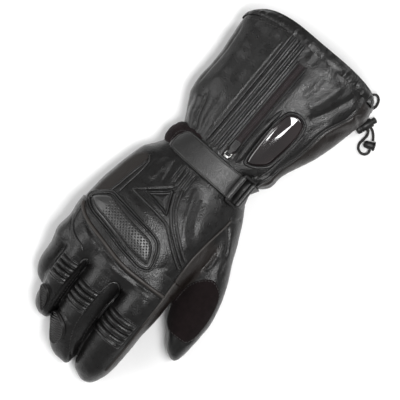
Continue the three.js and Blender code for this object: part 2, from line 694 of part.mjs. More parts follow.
// Parallel stitched ridges on the back of the cuff, as shares of CUFF_WIDTH from the middle.
const CUFF_RIDGES = [0.027, 0.062, 0.104, 0.131];
const CUFF_RIDGE_START = 0.055;
const CUFF_RIDGE_END = 0.86;
const CUFF_RIDGE_WIDTH = 2.8;
const WINDOW_OUTLINE = [
  [-0.192, 0.112], [-0.169, 0.119], [-0.158, 0.196], [-0.157, 0.35], [-0.177, 0.476], [-0.208, 0.51],
  [-0.26, 0.52], [-0.308, 0.497], [-0.323, 0.434], [-0.32, 0.336], [-0.308, 0.245], [-0.292, 0.182],
  [-0.238, 0.133],
];

function addCuffTrim() {
  const bar = (x, width, y0, y1) => [
    new THREE.Vector2(x - width / 2, y0), new THREE.Vector2(x + width / 2, y0),
    new THREE.Vector2(x + width / 2, y1), new THREE.Vector2(x - width / 2, y1),
  ];
  const top = -CUFF_RIDGE_START * CUFF_LENGTH;
  const bottom = -CUFF_RIDGE_END * CUFF_LENGTH;
  CUFF_RIDGES.forEach((x, i) => {
    const band = bar(x * CUFF_WIDTH, CUFF_RIDGE_WIDTH, bottom, top);
    add(`cuff_ridge_${i + 1}`, whole(draped(cuffSkin, band, GAP, GAP + RIDGE_RISE, 24)), 'leather');
  });
  const tape = bar(ZIP_X, ZIP_TAPE_WIDTH, ZIP_START_Y - ZIP_LENGTH, ZIP_START_Y);
  add('zip_tape', whole(draped(cuffSkin, tape, GAP, GAP + ZIP_TAPE_THICKNESS, 24)), 'zip');
  const chainFrom = GAP + ZIP_TAPE_THICKNESS + GAP;
  const chainTop = ZIP_START_Y - SLIDER_LENGTH - GAP;
  const chain = bar(ZIP_X, ZIP_CHAIN_WIDTH, ZIP_START_Y - ZIP_LENGTH + 1, chainTop);
  add('zip_chain', whole(draped(cuffSkin, chain, chainFrom, chainFrom + ZIP_CHAIN_THICKNESS, 24)), 'zip');
  const pane = along(WINDOW_OUTLINE, cuffPlan);
  add('window', whole(draped(cuffSkin, pane, GAP, GAP + WINDOW_RISE, 12)), 'gloss');
  const frame = draped(cuffSkin, widened(pane, GAP + FRAME_WIDTH), GAP, GAP + FRAME_RISE, 12)
    .subtract(prism(widened(pane, GAP), 0, 120));
  add('window_frame', whole(frame), 'leather');
}

// Height of the leather's skin, or of a skin grown from it, over a point in plan.
function heightAt(skin, grow, x, y) {
  const ray = new THREE.Raycaster(new THREE.Vector3(x, y, 200), new THREE.Vector3(0, 0, -1));
  const mesh = new THREE.Mesh(geometryOf(skin(grow)), new THREE.MeshBasicMaterial({ side: THREE.DoubleSide }));
  return ray.intersectObject(mesh)[0].point.z;
}

// The zip's slider plate, two cheeks and a pin, and the pull whose eye turns on the pin.
const sliderBackY = ZIP_START_Y - SLIDER_LENGTH;
const tapeTop = GAP + ZIP_TAPE_THICKNESS;
const sliderBase = Math.max(
  heightAt(cuffSkin, tapeTop, ZIP_X, ZIP_START_Y),
  heightAt(cuffSkin, tapeTop, ZIP_X - SLIDER_WIDTH / 2, sliderBackY),
  heightAt(cuffSkin, tapeTop, ZIP_X + SLIDER_WIDTH / 2, sliderBackY)) + GAP;
const pinY = ZIP_START_Y - SLIDER_LENGTH / 2;
const pinZ = sliderBase + SLIDER_THICKNESS + PIN_HEIGHT;

function addZipSlider() {
  const half = SLIDER_WIDTH / 2;
  let slider = block(ZIP_X - half, ZIP_X + half, sliderBackY, ZIP_START_Y,
    sliderBase, sliderBase + SLIDER_THICKNESS);
  for (const side of [-1, 1]) {
    const outer = ZIP_X + side * half;
    const inner = outer - side * CHEEK_THICKNESS;
    const reach = EYE_RADIUS;
    slider = slider.add(block(Math.min(outer, inner), Math.max(outer, inner), pinY - reach, pinY + reach,
      sliderBase + SLIDER_THICKNESS - 0.2, pinZ + PIN_RADIUS + 0.5));
  }
  slider = slider.add(rod(new THREE.Vector3(ZIP_X - half + 0.2, pinY, pinZ),
    new THREE.Vector3(ZIP_X + half - 0.2, pinY, pinZ), PIN_RADIUS, 12));
  add('zip_slider', slider, 'metal');

  const eyeHalf = half - CHEEK_THICKNESS - GAP;
  const tip = pinY - PULL_LENGTH;
  const chainTop = tapeTop + GAP + ZIP_CHAIN_THICKNESS;
  const rest = Math.max(
    heightAt(cuffSkin, chainTop, ZIP_X + PULL_WIDTH / 2, tip),
    heightAt(cuffSkin, chainTop, ZIP_X, tip)) + GAP + PULL_THICKNESS / 2;
  const tilt = Math.atan2(rest - pinZ, PULL_LENGTH);
  const neck = half + 1.6;
  const tab = new THREE.Shape([
    new THREE.Vector2(-eyeHalf, 0), new THREE.Vector2(-eyeHalf, -neck),
    new THREE.Vector2(-PULL_WIDTH / 2, -neck - 1.2), new THREE.Vector2(-PULL_WIDTH / 2, -PULL_LENGTH + 1.4),
    new THREE.Vector2(-PULL_WIDTH / 2 + 1.4, -PULL_LENGTH), new THREE.Vector2(PULL_WIDTH / 2 - 1.4, -PULL_LENGTH),
    new THREE.Vector2(PULL_WIDTH / 2, -PULL_LENGTH + 1.4), new THREE.Vector2(PULL_WIDTH / 2, -neck - 1.2),
    new THREE.Vector2(eyeHalf, -neck), new THREE.Vector2(eyeHalf, 0),
  ]);
  const plate = new THREE.ExtrudeGeometry(tab, { depth: PULL_THICKNESS, bevelEnabled: false });
  plate.translate(0, 0, -PULL_THICKNESS / 2).rotateX(-tilt);
  const eye = rod(new THREE.Vector3(-eyeHalf, 0, 0), new THREE.Vector3(eyeHalf, 0, 0), EYE_RADIUS, 16);
  const hole = rod(new THREE.Vector3(-half, 0, 0), new THREE.Vector3(half, 0, 0), PIN_RADIUS + GAP, 16);
  const pull = solid(plate).add(eye).subtract(hole).translate([ZIP_X, pinY, pinZ]);
  add('zip_pull', pull, 'plastic');
}

// The strap: a pile-faced run over the wrist, the run that folds back over it, the ring that
// both pass through, and the anchor that holds the ring on the thumb side.
const ringX = palmRows[0].left + RING_INSET;
const foldX = ringX + RING_REACH;
const strapBack = STRAP_MIDDLE_Y - STRAP_WIDTH / 2;
const strapFront = STRAP_MIDDLE_Y + STRAP_WIDTH / 2;
const baseTop = GAP + STRAP_BASE_THICKNESS;
const strapFrom = baseTop + GAP;

function addStrap() {
  const wire = RING_WIRE / 2;
  const above = wire + GAP + ROLL_WALL + ROLL_LIFT;
  const barAt = (x) => {
    const heights = [strapBack - RING_MARGIN, STRAP_MIDDLE_Y, strapFront + RING_MARGIN]
      .map((y) => heightAt(wristSkin, GAP, x, y));
    return new THREE.Vector3(x, STRAP_MIDDLE_Y, Math.max(...heights) + above);
  };
  const fold = barAt(foldX);
  const anchor = barAt(ringX);
  const reach = anchor.clone().sub(fold);
  const barEnd = (point, side, more = 0) => point.clone()
    .add(new THREE.Vector3(0, side * (STRAP_WIDTH / 2 + more), 0));
  const bore = (point) => rod(barEnd(point, -1, 6), barEnd(point, 1, 6), wire + GAP, 12);
  const roll = (point) => rod(barEnd(point, -1), barEnd(point, 1), wire + GAP + ROLL_WALL, 16);
  const corner = 9;

  const base = [
    new THREE.Vector2(foldX + 5, strapBack), new THREE.Vector2(STRAP_TIP_X - corner, strapBack),
    new THREE.Vector2(STRAP_TIP_X + 4, strapBack - STRAP_BASE_FLARE),
    new THREE.Vector2(HAND_WIDTH, strapBack - STRAP_BASE_FLARE + 3),
    new THREE.Vector2(HAND_WIDTH, strapFront - 3), new THREE.Vector2(foldX + 5, strapFront - 3),
  ];
  add('strap_base', whole(draped(wristSkin, base, GAP, baseTop, STRAP_BASE_END_Z)), 'pile');

  const tip = [
    new THREE.Vector2(foldX, strapBack), new THREE.Vector2(STRAP_TIP_X - corner, strapBack - 1),
    new THREE.Vector2(STRAP_TIP_X - corner * 0.3, strapBack + corner * 0.4),
    new THREE.Vector2(STRAP_TIP_X, strapBack + corner), new THREE.Vector2(STRAP_TIP_X, strapFront - 4.5),
    new THREE.Vector2(STRAP_TIP_X - 2, strapFront - 2.8), new THREE.Vector2(foldX, strapFront),
  ];
  const strap = draped(wristSkin, tip, strapFrom, strapFrom + STRAP_THICKNESS, 20)
    .add(roll(fold))
    .subtract(wristSkin(GAP))
    .subtract(bore(fold));
  add('wrist_strap', whole(strap), 'strap');

  let frame = rod(barEnd(fold, -1, RING_MARGIN), barEnd(fold, 1, RING_MARGIN), wire, 10)
    .add(rod(barEnd(anchor, -1, RING_MARGIN), barEnd(anchor, 1, RING_MARGIN), wire, 10));
  for (const side of [-1, 1]) {
    const more = reach.clone().setLength(wire * 0.5);
    const from = barEnd(fold, side, RING_MARGIN - wire * 0.4).sub(more);
    const to = barEnd(anchor, side, RING_MARGIN - wire * 0.4).add(more);
    frame = frame.add(rod(from, to, wire, 10));
  }
  add('strap_ring', whole(frame), 'plastic');

  const band = [
    new THREE.Vector2(-HAND_WIDTH, strapBack), new THREE.Vector2(anchor.x, strapBack),
    new THREE.Vector2(anchor.x, strapFront), new THREE.Vector2(-HAND_WIDTH, strapFront),
  ];
  const outer = anchor.x - wire - GAP - ROLL_WALL;
  const plate = block(outer, outer + ANCHOR_PLATE, strapBack, strapFront, anchor.z - above * 2, anchor.z);
  const tab = draped(wristSkin, band, GAP, baseTop, ANCHOR_END_Z, anchor.z)
    .add(plate)
    .add(roll(anchor))
    .subtract(wristSkin(GAP))
    .subtract(bore(anchor));
  add('strap_anchor', whole(tab), 'strap');
}

// Draw cord, its lock lying beside the cuff, and the moulded end on its tails.
// Cord routes, hand chosen: x, y, z in millimetres from the strap's middle on the table.
const CORD_OUTER = [
  [-69.4, -129.2, 13.9], [-69.6, -132.4, 13.5], [-70.8, -135.8, 11.4], [-73.6, -137.5, 7.8],
  [-76.8, -136.4, 4.4], [-79, -132.8, 2.1], [-79.1, -128.4, 1.3], [-77.2, -124.8, 1.4],
  [-74.4, -122.2, 2], [-72.9, -119.7, 3.2], [-74.1, -117.7, 4.1], [-77, -116.7, 4.3],
  [-80.6, -115.3, 4.3], [-84.2, -113.9, 4.3], [-87.8, -112.5, 4.3], [-91.2, -110.9, 4.1],
  [-94, -108.6, 3.8], [-96, -106.2, 4], [-97, -104.3, 4.4],
];
const CORD_INNER = [
  [-66, -128.9, 10.5], [-66.2, -132, 10.1], [-67.8, -134.8, 8], [-70.9, -134.4, 5.6],
  [-72.8, -130.8, 4.6], [-72, -126, 4.6], [-69.7, -121.9, 4.6], [-68.9, -118.4, 4.5],
  [-70.9, -115.8, 4.4], [-74.6, -114.4, 4.3], [-78.8, -112.8, 4.3], [-83.1, -111.1, 4.3],
  [-86.6, -109.7, 4.3], [-89.2, -107.2, 3.8], [-90.1, -103.6, 2.8], [-89.6, -99.4, 1.9],
  [-89.5, -94.9, 1.4], [-91.6, -91.1, 1.3], [-95.8, -89.5, 1.5], [-99.5, -91, 2.2],
  [-100.8, -93.9, 3.3], [-100.1, -96.6, 4.4],
];

function cordTube(points) {
  const path = new THREE.CatmullRomCurve3(points.map((p) => new THREE.Vector3(...p)), false, 'centripetal');
  const section = new THREE.Shape();
  const sides = 8;
  for (let i = 0; i < sides; i += 1) {
    const angle = (i / sides) * 2 * Math.PI;
    const x = (Math.cos(angle) * CORD_DIAMETER) / 2;
    const y = (Math.sin(angle) * CORD_DIAMETER) / 2;
    if (i === 0) {
      section.moveTo(x, y);
    } else {
      section.lineTo(x, y);
    }
  }
  section.closePath();
  const steps = Math.ceil(path.getLength() / (CORD_DIAMETER * 1.6));
  return new THREE.ExtrudeGeometry(section, { steps, bevelEnabled: false, extrudePath: path });
}

const LOCK_HEAD = new THREE.Vector3(-79.6, -102, LOCK_RADIUS);
const LOCK_AXIS = new THREE.Vector3(-0.36, -0.93, 0).normalize();
const CORD_END_MOUTH = new THREE.Vector3(-101.7, -101.7, CORD_END_FLANGE);
const CORD_END_AXIS = new THREE.Vector3(0.906, 0.42, 0).normalize();

function addDrawcord() {
  const open = LOCK_HEAD.clone().addScaledVector(LOCK_AXIS, LOCK_LENGTH);
  const onAxis = (reach) => open.clone().addScaledVector(LOCK_AXIS, reach);
  const across = new THREE.Vector3(LOCK_AXIS.y, -LOCK_AXIS.x, 0).multiplyScalar(LOCK_RADIUS * 2);
  const boreRadius = LOCK_RADIUS - LOCK_WALL;
  let lock = rod(LOCK_HEAD, open, LOCK_RADIUS, 16)
    .subtract(rod(onAxis(LOCK_WALL - LOCK_LENGTH), onAxis(1), boreRadius, 12));
  for (const setback of [LOCK_HOLE_SETBACK, LOCK_HOLE_SETBACK + LOCK_HOLE_PITCH]) {
    const hole = onAxis(-setback);
    lock = lock.subtract(rod(hole.clone().sub(across), hole.clone().add(across), CORD_DIAMETER / 2 + GAP, 12));
  }
  add('cord_lock', lock, 'plastic');
  const slotEnd = LOCK_HOLE_SETBACK + LOCK_HOLE_PITCH + CORD_DIAMETER / 2 + GAP;
  const slotStart = BUTTON_TRAVEL - LOCK_HOLE_SETBACK + CORD_DIAMETER / 2 + GAP;
  const slotWidth = CORD_DIAMETER + 2 * GAP;
  const slotLength = slotEnd + slotStart;
  const slot = new THREE.BoxGeometry(slotLength, LOCK_RADIUS * 2, slotWidth);
  slot.translate((slotStart - slotEnd) / 2, 0, 0);
  slot.rotateZ(Math.atan2(LOCK_AXIS.y, LOCK_AXIS.x)).translate(...open.toArray());
  const button = rod(onAxis(-BUTTON_STEM), onAxis(BUTTON_REACH), boreRadius - GAP, 16)
    .subtract(solid(slot));
  add('cord_lock_button', button, 'plastic');

  const flange = CORD_END_FLANGE_THICKNESS;
  const profile = [
    [0, 0], [CORD_END_FLANGE, 0], [CORD_END_FLANGE, flange * 0.6], [CORD_END_RADIUS, flange],
    [CORD_END_RADIUS, CORD_END_LENGTH * 0.6], [CORD_END_RADIUS * 0.85, CORD_END_LENGTH * 0.9],
    [CORD_END_RADIUS * 0.6, CORD_END_LENGTH], [0, CORD_END_LENGTH],
  ].map(([x, y]) => new THREE.Vector2(x, y));
  const end = new THREE.LatheGeometry(profile, 16);
  end.applyQuaternion(new THREE.Quaternion().setFromUnitVectors(new THREE.Vector3(0, 1, 0), CORD_END_AXIS));
  end.translate(...CORD_END_MOUTH.toArray());
  add('cord_end', solid(end), 'plastic');

  add('drawcord_outer', cordTube(CORD_OUTER), 'cord');
  add('drawcord_inner', cordTube(CORD_INNER), 'cord');
}

addHand();
addBackTrim();
addFingerTrim();
addCuff();
addCuffTrim();
addZipSlider();
addStrap();
addDrawcord();

// The glove's box, without its draw cord, stands on z = 0 with its middle over the origin.
const box = new THREE.Box3();
for (const mesh of glove.children) {
  if (!/cord/.test(mesh.name)) {
    box.expandByObject(mesh);
  }
}
const middle = box.getCenter(new THREE.Vector3());
glove.position.set(-middle.x, -middle.y, -box.min.z);

export default glove;
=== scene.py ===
from math import cos, pi, radians, sin

import bmesh
import bpy
import numpy as np
from mathutils import Matrix, Vector
from mathutils.bvhtree import BVHTree


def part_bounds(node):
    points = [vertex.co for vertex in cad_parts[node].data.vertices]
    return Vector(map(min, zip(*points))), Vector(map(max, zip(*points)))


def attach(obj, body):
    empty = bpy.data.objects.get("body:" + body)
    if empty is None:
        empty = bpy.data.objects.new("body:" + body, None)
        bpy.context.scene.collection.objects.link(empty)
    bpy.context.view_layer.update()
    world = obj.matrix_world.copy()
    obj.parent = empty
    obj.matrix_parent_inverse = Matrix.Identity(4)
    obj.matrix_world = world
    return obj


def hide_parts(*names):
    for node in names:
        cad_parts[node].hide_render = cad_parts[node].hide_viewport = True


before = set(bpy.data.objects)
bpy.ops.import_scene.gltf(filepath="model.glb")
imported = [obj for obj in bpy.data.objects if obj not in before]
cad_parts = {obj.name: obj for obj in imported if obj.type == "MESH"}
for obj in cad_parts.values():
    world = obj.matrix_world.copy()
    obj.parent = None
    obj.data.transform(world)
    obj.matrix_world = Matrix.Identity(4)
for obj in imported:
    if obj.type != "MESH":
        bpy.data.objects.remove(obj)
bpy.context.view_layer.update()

# Lengths are millimetres from a point on the table under the wrist, as in the part,
# and are turned into the frame's metres where a mesh is made.
MM = 0.001
HAND_LENGTH, HAND_WIDTH, HAND_HEIGHT = 222, 118, 62
CUFF_LENGTH, CUFF_WIDTH, CUFF_HEIGHT = 143, 130, 55
WRIST_SEAM_Y = 4
GAP = 0.3
SOLE_SINK = 2.5
HEM_BOW, HEM_SKEW = 15, 0.33
ZIP_X = -5.5
CORD_DIAMETER = 2.5

tape_low, tape_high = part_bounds("zip_tape")
palm_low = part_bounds("palm_shell")[0]
ORIGIN = np.array([
    (tape_low[0] + tape_high[0]) / 2 - ZIP_X * MM,
    palm_low[1] - (WRIST_SEAM_Y + GAP / 2) * MM,
    0.0,
])


def part_box(node):
    """Low and high corner of a part's box in the work frame, in millimetres."""
    low, high = [np.array(corner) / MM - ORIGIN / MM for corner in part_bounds(node)]
    return low, high


def placed(points):
    return np.asarray(points, dtype=float) * MM + ORIGIN


# Camera, floor and light

def aim(obj, target, up):
    back = (obj.location - target).normalized()
    side = Vector(up).cross(back).normalized()
    level = back.cross(side)
    obj.matrix_world = Matrix.Translation(obj.location) @ Matrix((side, level, back)).transposed().to_4x4()


CAMERA_HEIGHT = 1.6
VIEW_WIDTH = 0.352
OBJECT_LEVEL = 0.03
VIEW_MIDDLE = (-12.5, 35.4, 0)
VIEW_UP = (0.643, -0.766, 0)
view_middle = Vector(placed(VIEW_MIDDLE))

camera_data = bpy.data.cameras.new("camera")
SENSOR_WIDTH = 36
camera_data.sensor_width = SENSOR_WIDTH
camera_data.lens = SENSOR_WIDTH * (CAMERA_HEIGHT - OBJECT_LEVEL) / VIEW_WIDTH
camera = bpy.data.objects.new("camera", camera_data)
bpy.context.scene.collection.objects.link(camera)
camera.location = view_middle + Vector((0, 0, CAMERA_HEIGHT))
aim(camera, view_middle, VIEW_UP)
bpy.context.scene.camera = camera
bpy.context.scene.view_settings.view_transform = "Standard"


def softbox(name, place, size, power):
    data = bpy.data.lights.new(name, "AREA")
    data.shape = "RECTANGLE"
    data.size, data.size_y = size
    data.energy = power
    lamp = bpy.data.objects.new(name, data)
    bpy.context.scene.collection.objects.link(lamp)
    lamp.location = place
    aim(lamp, Vector((0, 0, 0)), (0, 1, 0.01))


softbox("box_over", (-0.28, -0.1, 1.1), (0.28, 0.6), 10)
softbox("box_side", (0.9, 0.5, 0.8), (0.9, 1.1), 10)
softbox("box_back", (-0.5, -1.0, 0.7), (0.6, 0.35), 4)

WORLD_LIGHT = 0.36
world = bpy.data.worlds.new("studio")
bpy.context.scene.world = world
world.use_nodes = True
sky = world.node_tree.nodes["Background"]
sky.inputs["Color"].default_value = (1, 1, 1, 1)
sky.inputs["Strength"].default_value = WORLD_LIGHT


# Meshes

def make(name, points, faces, look, slot, nodes=(), body="glove", tone=None):
    """One piece of the scene, riding on a body and standing for the part's nodes."""
    if name in nodes:
        name += "_piece"
    mesh = bpy.data.meshes.new(name)
    faces = np.asarray(faces, dtype=np.int32)
    mesh.vertices.add(len(points))
    mesh.vertices.foreach_set("co", placed(points).astype(np.float32).ravel())
    mesh.loops.add(faces.size)
    mesh.loops.foreach_set("vertex_index", faces.ravel())
    mesh.polygons.add(len(faces))
    mesh.polygons.foreach_set("loop_start", np.arange(0, faces.size, faces.shape[1], dtype=np.int32))
    mesh.update(calc_edges=True)
    mesh.validate()
    mesh.shade_smooth()
    if tone is not None:
        layer = mesh.attributes.new("tone", "FLOAT", "POINT")
        layer.data.foreach_set("value", np.asarray(tone, dtype=np.float32))
    mesh.materials.append(look)
    obj = bpy.data.objects.new(name, mesh)
    bpy.context.scene.collection.objects.link(obj)
    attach(obj, body)
    if nodes:
        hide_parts(*nodes)
    return obj


def grid_faces(rows, columns, wrap=False):
    """Quads of a grid of points, joined across its sides when it wraps."""
    i, j = np.meshgrid(np.arange(rows - 1), np.arange(columns if wrap else columns - 1), indexing="ij")
    a = i * columns + j
    b = i * columns + (j + 1) % columns
    return np.stack([a, b, b + columns, a + columns], axis=-1).reshape(-1, 4)


def tube_faces(rows, columns, closed=False):
    """Quads round a tube, with its ends joined when it is closed and capped when it isn't."""
    faces = grid_faces(rows, columns, wrap=True)
    last = (rows - 1) * columns
    if closed:
        j = np.arange(columns)
        after = (j + 1) % columns
        return np.vstack([faces, np.stack([last + j, last + after, after, j], axis=1)])
    i = np.arange(columns // 2 - 1)
    cap = np.stack([i, i + 1, columns - 2 - i, columns - 1 - i], axis=1)
    return np.vstack([faces, cap[:, ::-1], cap + last])


def sheet_faces(rows, columns):
    """Quads of two grids, one above the other, joined round their rim, and the upper grid's alone."""
    size = rows * columns
    top = grid_faces(rows, columns)
    rim = np.concatenate([
        np.arange(columns),
        np.arange(1, rows) * columns + columns - 1,
        (rows - 1) * columns + np.arange(columns - 2, -1, -1),
        np.arange(rows - 2, 0, -1) * columns,
    ])
    after = np.roll(rim, -1)
    sides = np.stack([rim, rim + size, after + size, after], axis=1)
    return np.vstack([top, top[:, ::-1] + size, sides]), top


def quad_normals(points, faces):
    p = points[faces]
    return np.cross(p[:, 2] - p[:, 0], p[:, 3] - p[:, 1])


def outward(faces, top, upper):
    """The faces, turned over if the top ones look down."""
    return faces if quad_normals(upper, top)[:, 2].sum() > 0 else faces[:, ::-1]


def closed_sheet(upper, lower):
    """Two grids of points, one above the other, joined round their rim."""
    faces, top = sheet_faces(*upper.shape[:2])
    flat = upper.reshape(-1, 3)
    return np.vstack([flat, lower.reshape(-1, 3)]), outward(faces, top, flat)


def merged(parts):
    """One mesh of several, each a pair of points and faces."""
    points, faces, base = [], [], 0
    for p, f in parts:
        points.append(p)
        faces.append(f + base)
        base += len(p)
    return np.vstack(points), np.vstack(faces)


# Smooth tables and lines

def smooth_table(xs, ys):
    """A smooth curve through a table's values, with no overshoot."""
    xs, ys = np.asarray(xs, float), np.asarray(ys, float)
    slopes = np.diff(ys) / np.diff(xs)
    ends = np.concatenate([slopes[:1], slopes, slopes[-1:]])
    before, after = ends[:-1], ends[1:]
    with np.errstate(divide="ignore", invalid="ignore"):
        tangent = np.where(before * after > 0, 2 * before * after / (before + after), 0.0)

    def value(x):
        x = np.clip(np.asarray(x, float), xs[0], xs[-1])
        k = np.clip(np.searchsorted(xs, x, side="right") - 1, 0, len(xs) - 2)
        h = xs[k + 1] - xs[k]
        t = (x - xs[k]) / h
        return ((2 * t**3 - 3 * t**2 + 1) * ys[k] + (t**3 - 2 * t**2 + t) * h * tangent[k]
                + (3 * t**2 - 2 * t**3) * ys[k + 1] + (t**3 - t**2) * h * tangent[k + 1])

    return value


SPAN_STEPS = 24


def run_lengths(line):
    """How far along a line each of its points is."""
    return np.concatenate([[0], np.cumsum(np.linalg.norm(np.diff(line, axis=0), axis=1))])


def respaced(line, count, endpoint=True):
    """count evenly spaced points along a line."""
    reach = run_lengths(line)
    spots = np.linspace(0, reach[-1], count, endpoint=endpoint)
    return np.stack([np.interp(spots, reach, line[:, k]) for k in range(line.shape[1])], axis=1)


def unit(vectors):
    return vectors / np.linalg.norm(vectors, axis=-1)[..., None]


def smooth_line(points, count, closed=False):
    """count points along a smooth line through points, evenly spaced."""
    points = np.asarray(points, float)
    if closed:
        points = np.vstack([points[-1:], points, points[:2]])
    else:
        points = np.vstack([2 * points[0] - points[1], points, 2 * points[-1] - points[-2]])
    t = np.linspace(0, 1, SPAN_STEPS, endpoint=False)[:, None]
    run = []
    for a, b, c, d in zip(points, points[1:], points[2:], points[3:]):
        run.append(0.5 * (2 * b + (c - a) * t + (2 * a - 5 * b + 4 * c - d) * t**2
                          + (3 * b - a - 3 * c + d) * t**3))
    return respaced(np.vstack(run + [points[-2][None]]), count, endpoint=not closed)


def line_length(points):
    return float(np.linalg.norm(np.diff(np.asarray(points, float), axis=0), axis=1).sum())


def bell(distance, width):
    return np.exp(-((distance / width) ** 2))


def ease(t):
    t = np.clip(t, 0, 1)
    return t * t * (3 - 2 * t)


def distance_to(line, x, y):
    """Distance in plan from many points to a polyline, and the share along it."""
    line = np.asarray(line, float)
    best = np.full(np.shape(x), 1e9)
    share = np.zeros(np.shape(x))
    total = line_length(line)
    before = 0.0
    for a, b in zip(line, line[1:]):
        run = b - a
        size = float(np.hypot(*run)) or 1e-9
        t = np.clip(((x - a[0]) * run[0] + (y - a[1]) * run[1]) / size**2, 0, 1)
        d = np.hypot(x - a[0] - t * run[0], y - a[1] - t * run[1])
        nearer = d < best
        best = np.where(nearer, d, best)
        share = np.where(nearer, (before + t * size) / total, share)
        before += size
    return best, share


LATTICE_SIZE, LATTICE_START = 32, 500.5
CORNERS = [(i, j, k) for i in (0, 1) for j in (0, 1) for k in (0, 1)]


def lumps(x, y, z, pitch, seed):
    """Soft random swelling between -1 and 1, on a lattice of the given pitch."""
    size = LATTICE_SIZE
    lattice = np.random.default_rng(seed).uniform(-1, 1, (size, size, size))
    p = [np.asarray(v) / pitch + LATTICE_START for v in (x, y, z)]
    base = [np.floor(v).astype(int) for v in p]
    t = [ease(v - b) for v, b in zip(p, base)]
    total = 0
    for corner in CORNERS:
        weight = 1
        for share, step in zip(t, corner):
            weight = weight * (share if step else 1 - share)
        total = total + weight * lattice[tuple((b + step) % size for b, step in zip(base, corner))]
    return total


# The glove's sections, with the part's shares

# y, left, right, bottom, top
PALM_ROWS = np.array([
    (0.018, -0.347, 0.364, 0, 0.73), (0.1, -0.39, 0.415, 0, 0.77), (0.15, -0.405, 0.48, 0, 0.81),
    (0.21, -0.425, 0.52, 0, 0.87), (0.28, -0.44, 0.545, 0, 0.93), (0.36, -0.452, 0.565, 0.01, 0.98),
    (0.45, -0.43, 0.57, 0.05, 1), (0.53, -0.418, 0.568, 0.11, 0.99), (0.59, -0.415, 0.573, 0.17, 0.94),
    (0.62, -0.395, 0.555, 0.24, 0.87), (0.635, -0.34, 0.49, 0.36, 0.74),
])
THUMB_ROWS = np.array([
    (0.06, -0.36, -0.2, 0.05, 0.36), (0.1, -0.43, -0.22, 0, 0.48), (0.18, -0.517, -0.24, 0, 0.58),
    (0.27, -0.597, -0.27, 0, 0.62), (0.36, -0.688, -0.34, 0, 0.61), (0.45, -0.746, -0.415, 0, 0.58),
    (0.54, -0.77, -0.43, 0, 0.55), (0.61, -0.775, -0.485, 0, 0.52), (0.66, -0.77, -0.555, 0, 0.47),
    (0.7, -0.757, -0.625, 0.02, 0.38), (0.718, -0.74, -0.68, 0.1, 0.27),
])
# along, width, lean, bottom, top
FINGER_ROWS = np.array([
    (0, 0.9, 0, 0.32, 0.92), (0.16, 1, 0, 0.3, 0.98), (0.3, 1, 0.02, 0.25, 0.96), (0.45, 1, 0.1, 0.17, 0.9),
    (0.6, 0.99, 0.25, 0.08, 0.81), (0.74, 0.94, 0.48, 0.02, 0.69), (0.85, 0.84, 0.7, 0, 0.56),
    (0.93, 0.66, 0.87, 0, 0.44), (0.98, 0.44, 0.97, 0.04, 0.33), (1, 0.22, 1, 0.1, 0.25),
])
# x, width, lean, root, tip, height
FINGERS = {
    "index": (-0.249, 0.346, -0.03, 0.47, 0.998, 0.95),
    "middle": (0.072, 0.335, -0.1, 0.47, 1.004, 1),
    "ring": (0.326, 0.26, -0.045, 0.46, 0.914, 0.93),
    "little": (0.49, 0.19, -0.06, 0.44, 0.815, 0.8),
}
# along, left, right, top
CUFF_ROWS = np.array([
    (0, -0.315, 0.33, 0.823), (0.06, -0.35, 0.315, 0.82), (0.13, -0.4, 0.345, 0.835),
    (0.22, -0.418, 0.4, 0.87), (0.31, -0.447, 0.438, 0.905), (0.42, -0.492, 0.447, 0.94),
    (0.53, -0.537, 0.44, 0.965), (0.64, -0.567, 0.437, 0.985), (0.75, -0.588, 0.45, 1),
    (0.86, -0.595, 0.465, 1), (0.94, -0.587, 0.473, 0.99), (0.972, -0.584, 0.468, 0.985),
    (1, -0.562, 0.45, 0.96),
])
SIDE_POWER, BACK_POWER = 0.86, 0.9
WAIST = 0.42


def hand_limb(rows):
    return rows * np.array([HAND_LENGTH, HAND_WIDTH, HAND_WIDTH, HAND_HEIGHT, HAND_HEIGHT])


def finger_limb(name):
    x, width, lean, root, tip, height = FINGERS[name]
    rows = []
    for along, wide, bend, bottom, top in FINGER_ROWS:
        middle = (x + lean * bend) * HAND_WIDTH
        half = width * HAND_WIDTH * wide / 2
        high = height * HAND_HEIGHT
        y = (root + (tip - root) * along) * HAND_LENGTH
        rows.append((y, middle - half, middle + half, bottom * high, top * high))
    return np.array(rows)


def rounded_tip(rows):
    """Sections past the last one, so that a limb ends round."""
    y, left, right, bottom, top = rows[-1]
    middle, level = (left + right) / 2, (bottom + top) / 2
    last = (y + 1.1, middle - 0.4, middle + 0.4, level - 0.3, level + 0.3)
    return np.vstack([rows, last])


STEP = 1.03
FIELD_LOW, FIELD_HIGH = (-97, 1, -4), (73, 227, 68)
xs, ys, zs = (np.arange(low, high + STEP, STEP) for low, high in zip(FIELD_LOW, FIELD_HIGH))
FAR = 12.0
FINGER_FILLET, KNUCKLE_FILLET, THUMB_FILLET, SOLE_FILLET = 0.8, 5, 7, 1.2
SOLE_LEVEL = 0.03


def limb_field(rows):
    """Signed distance, roughly, to one limb on the whole grid."""
    left, right, bottom, top = (smooth_table(rows[:, 0], rows[:, k])(ys) for k in (1, 2, 3, 4))
    middle, half = (left + right) / 2, np.maximum((right - left) / 2, 0.4)
    waist = bottom + (top - bottom) * WAIST
    up = np.maximum(top - waist, 0.3)
    down = np.maximum(waist - bottom + SOLE_SINK, 0.3)
    across = np.abs(xs[:, None] - middle) / half
    rise = zs[None, :] - waist[:, None]
    height = np.where(rise > 0, rise / up[:, None], -rise / down[:, None])
    field = np.sqrt((across ** (2 / SIDE_POWER))[:, :, None] + (height ** (2 / BACK_POWER))[None, :, :]) - 1
    gx, gy, gz = np.gradient(field, STEP)
    steep = gx**2 + gz**2
    field = field / np.maximum(np.sqrt(steep + np.minimum(gy**2, 0.6 * steep)), 0.004)
    outside = (ys < rows[0, 0]) | (ys > rows[-1, 0] + 0.5)
    field[:, outside, :] = FAR
    return np.clip(field, -FAR, FAR)


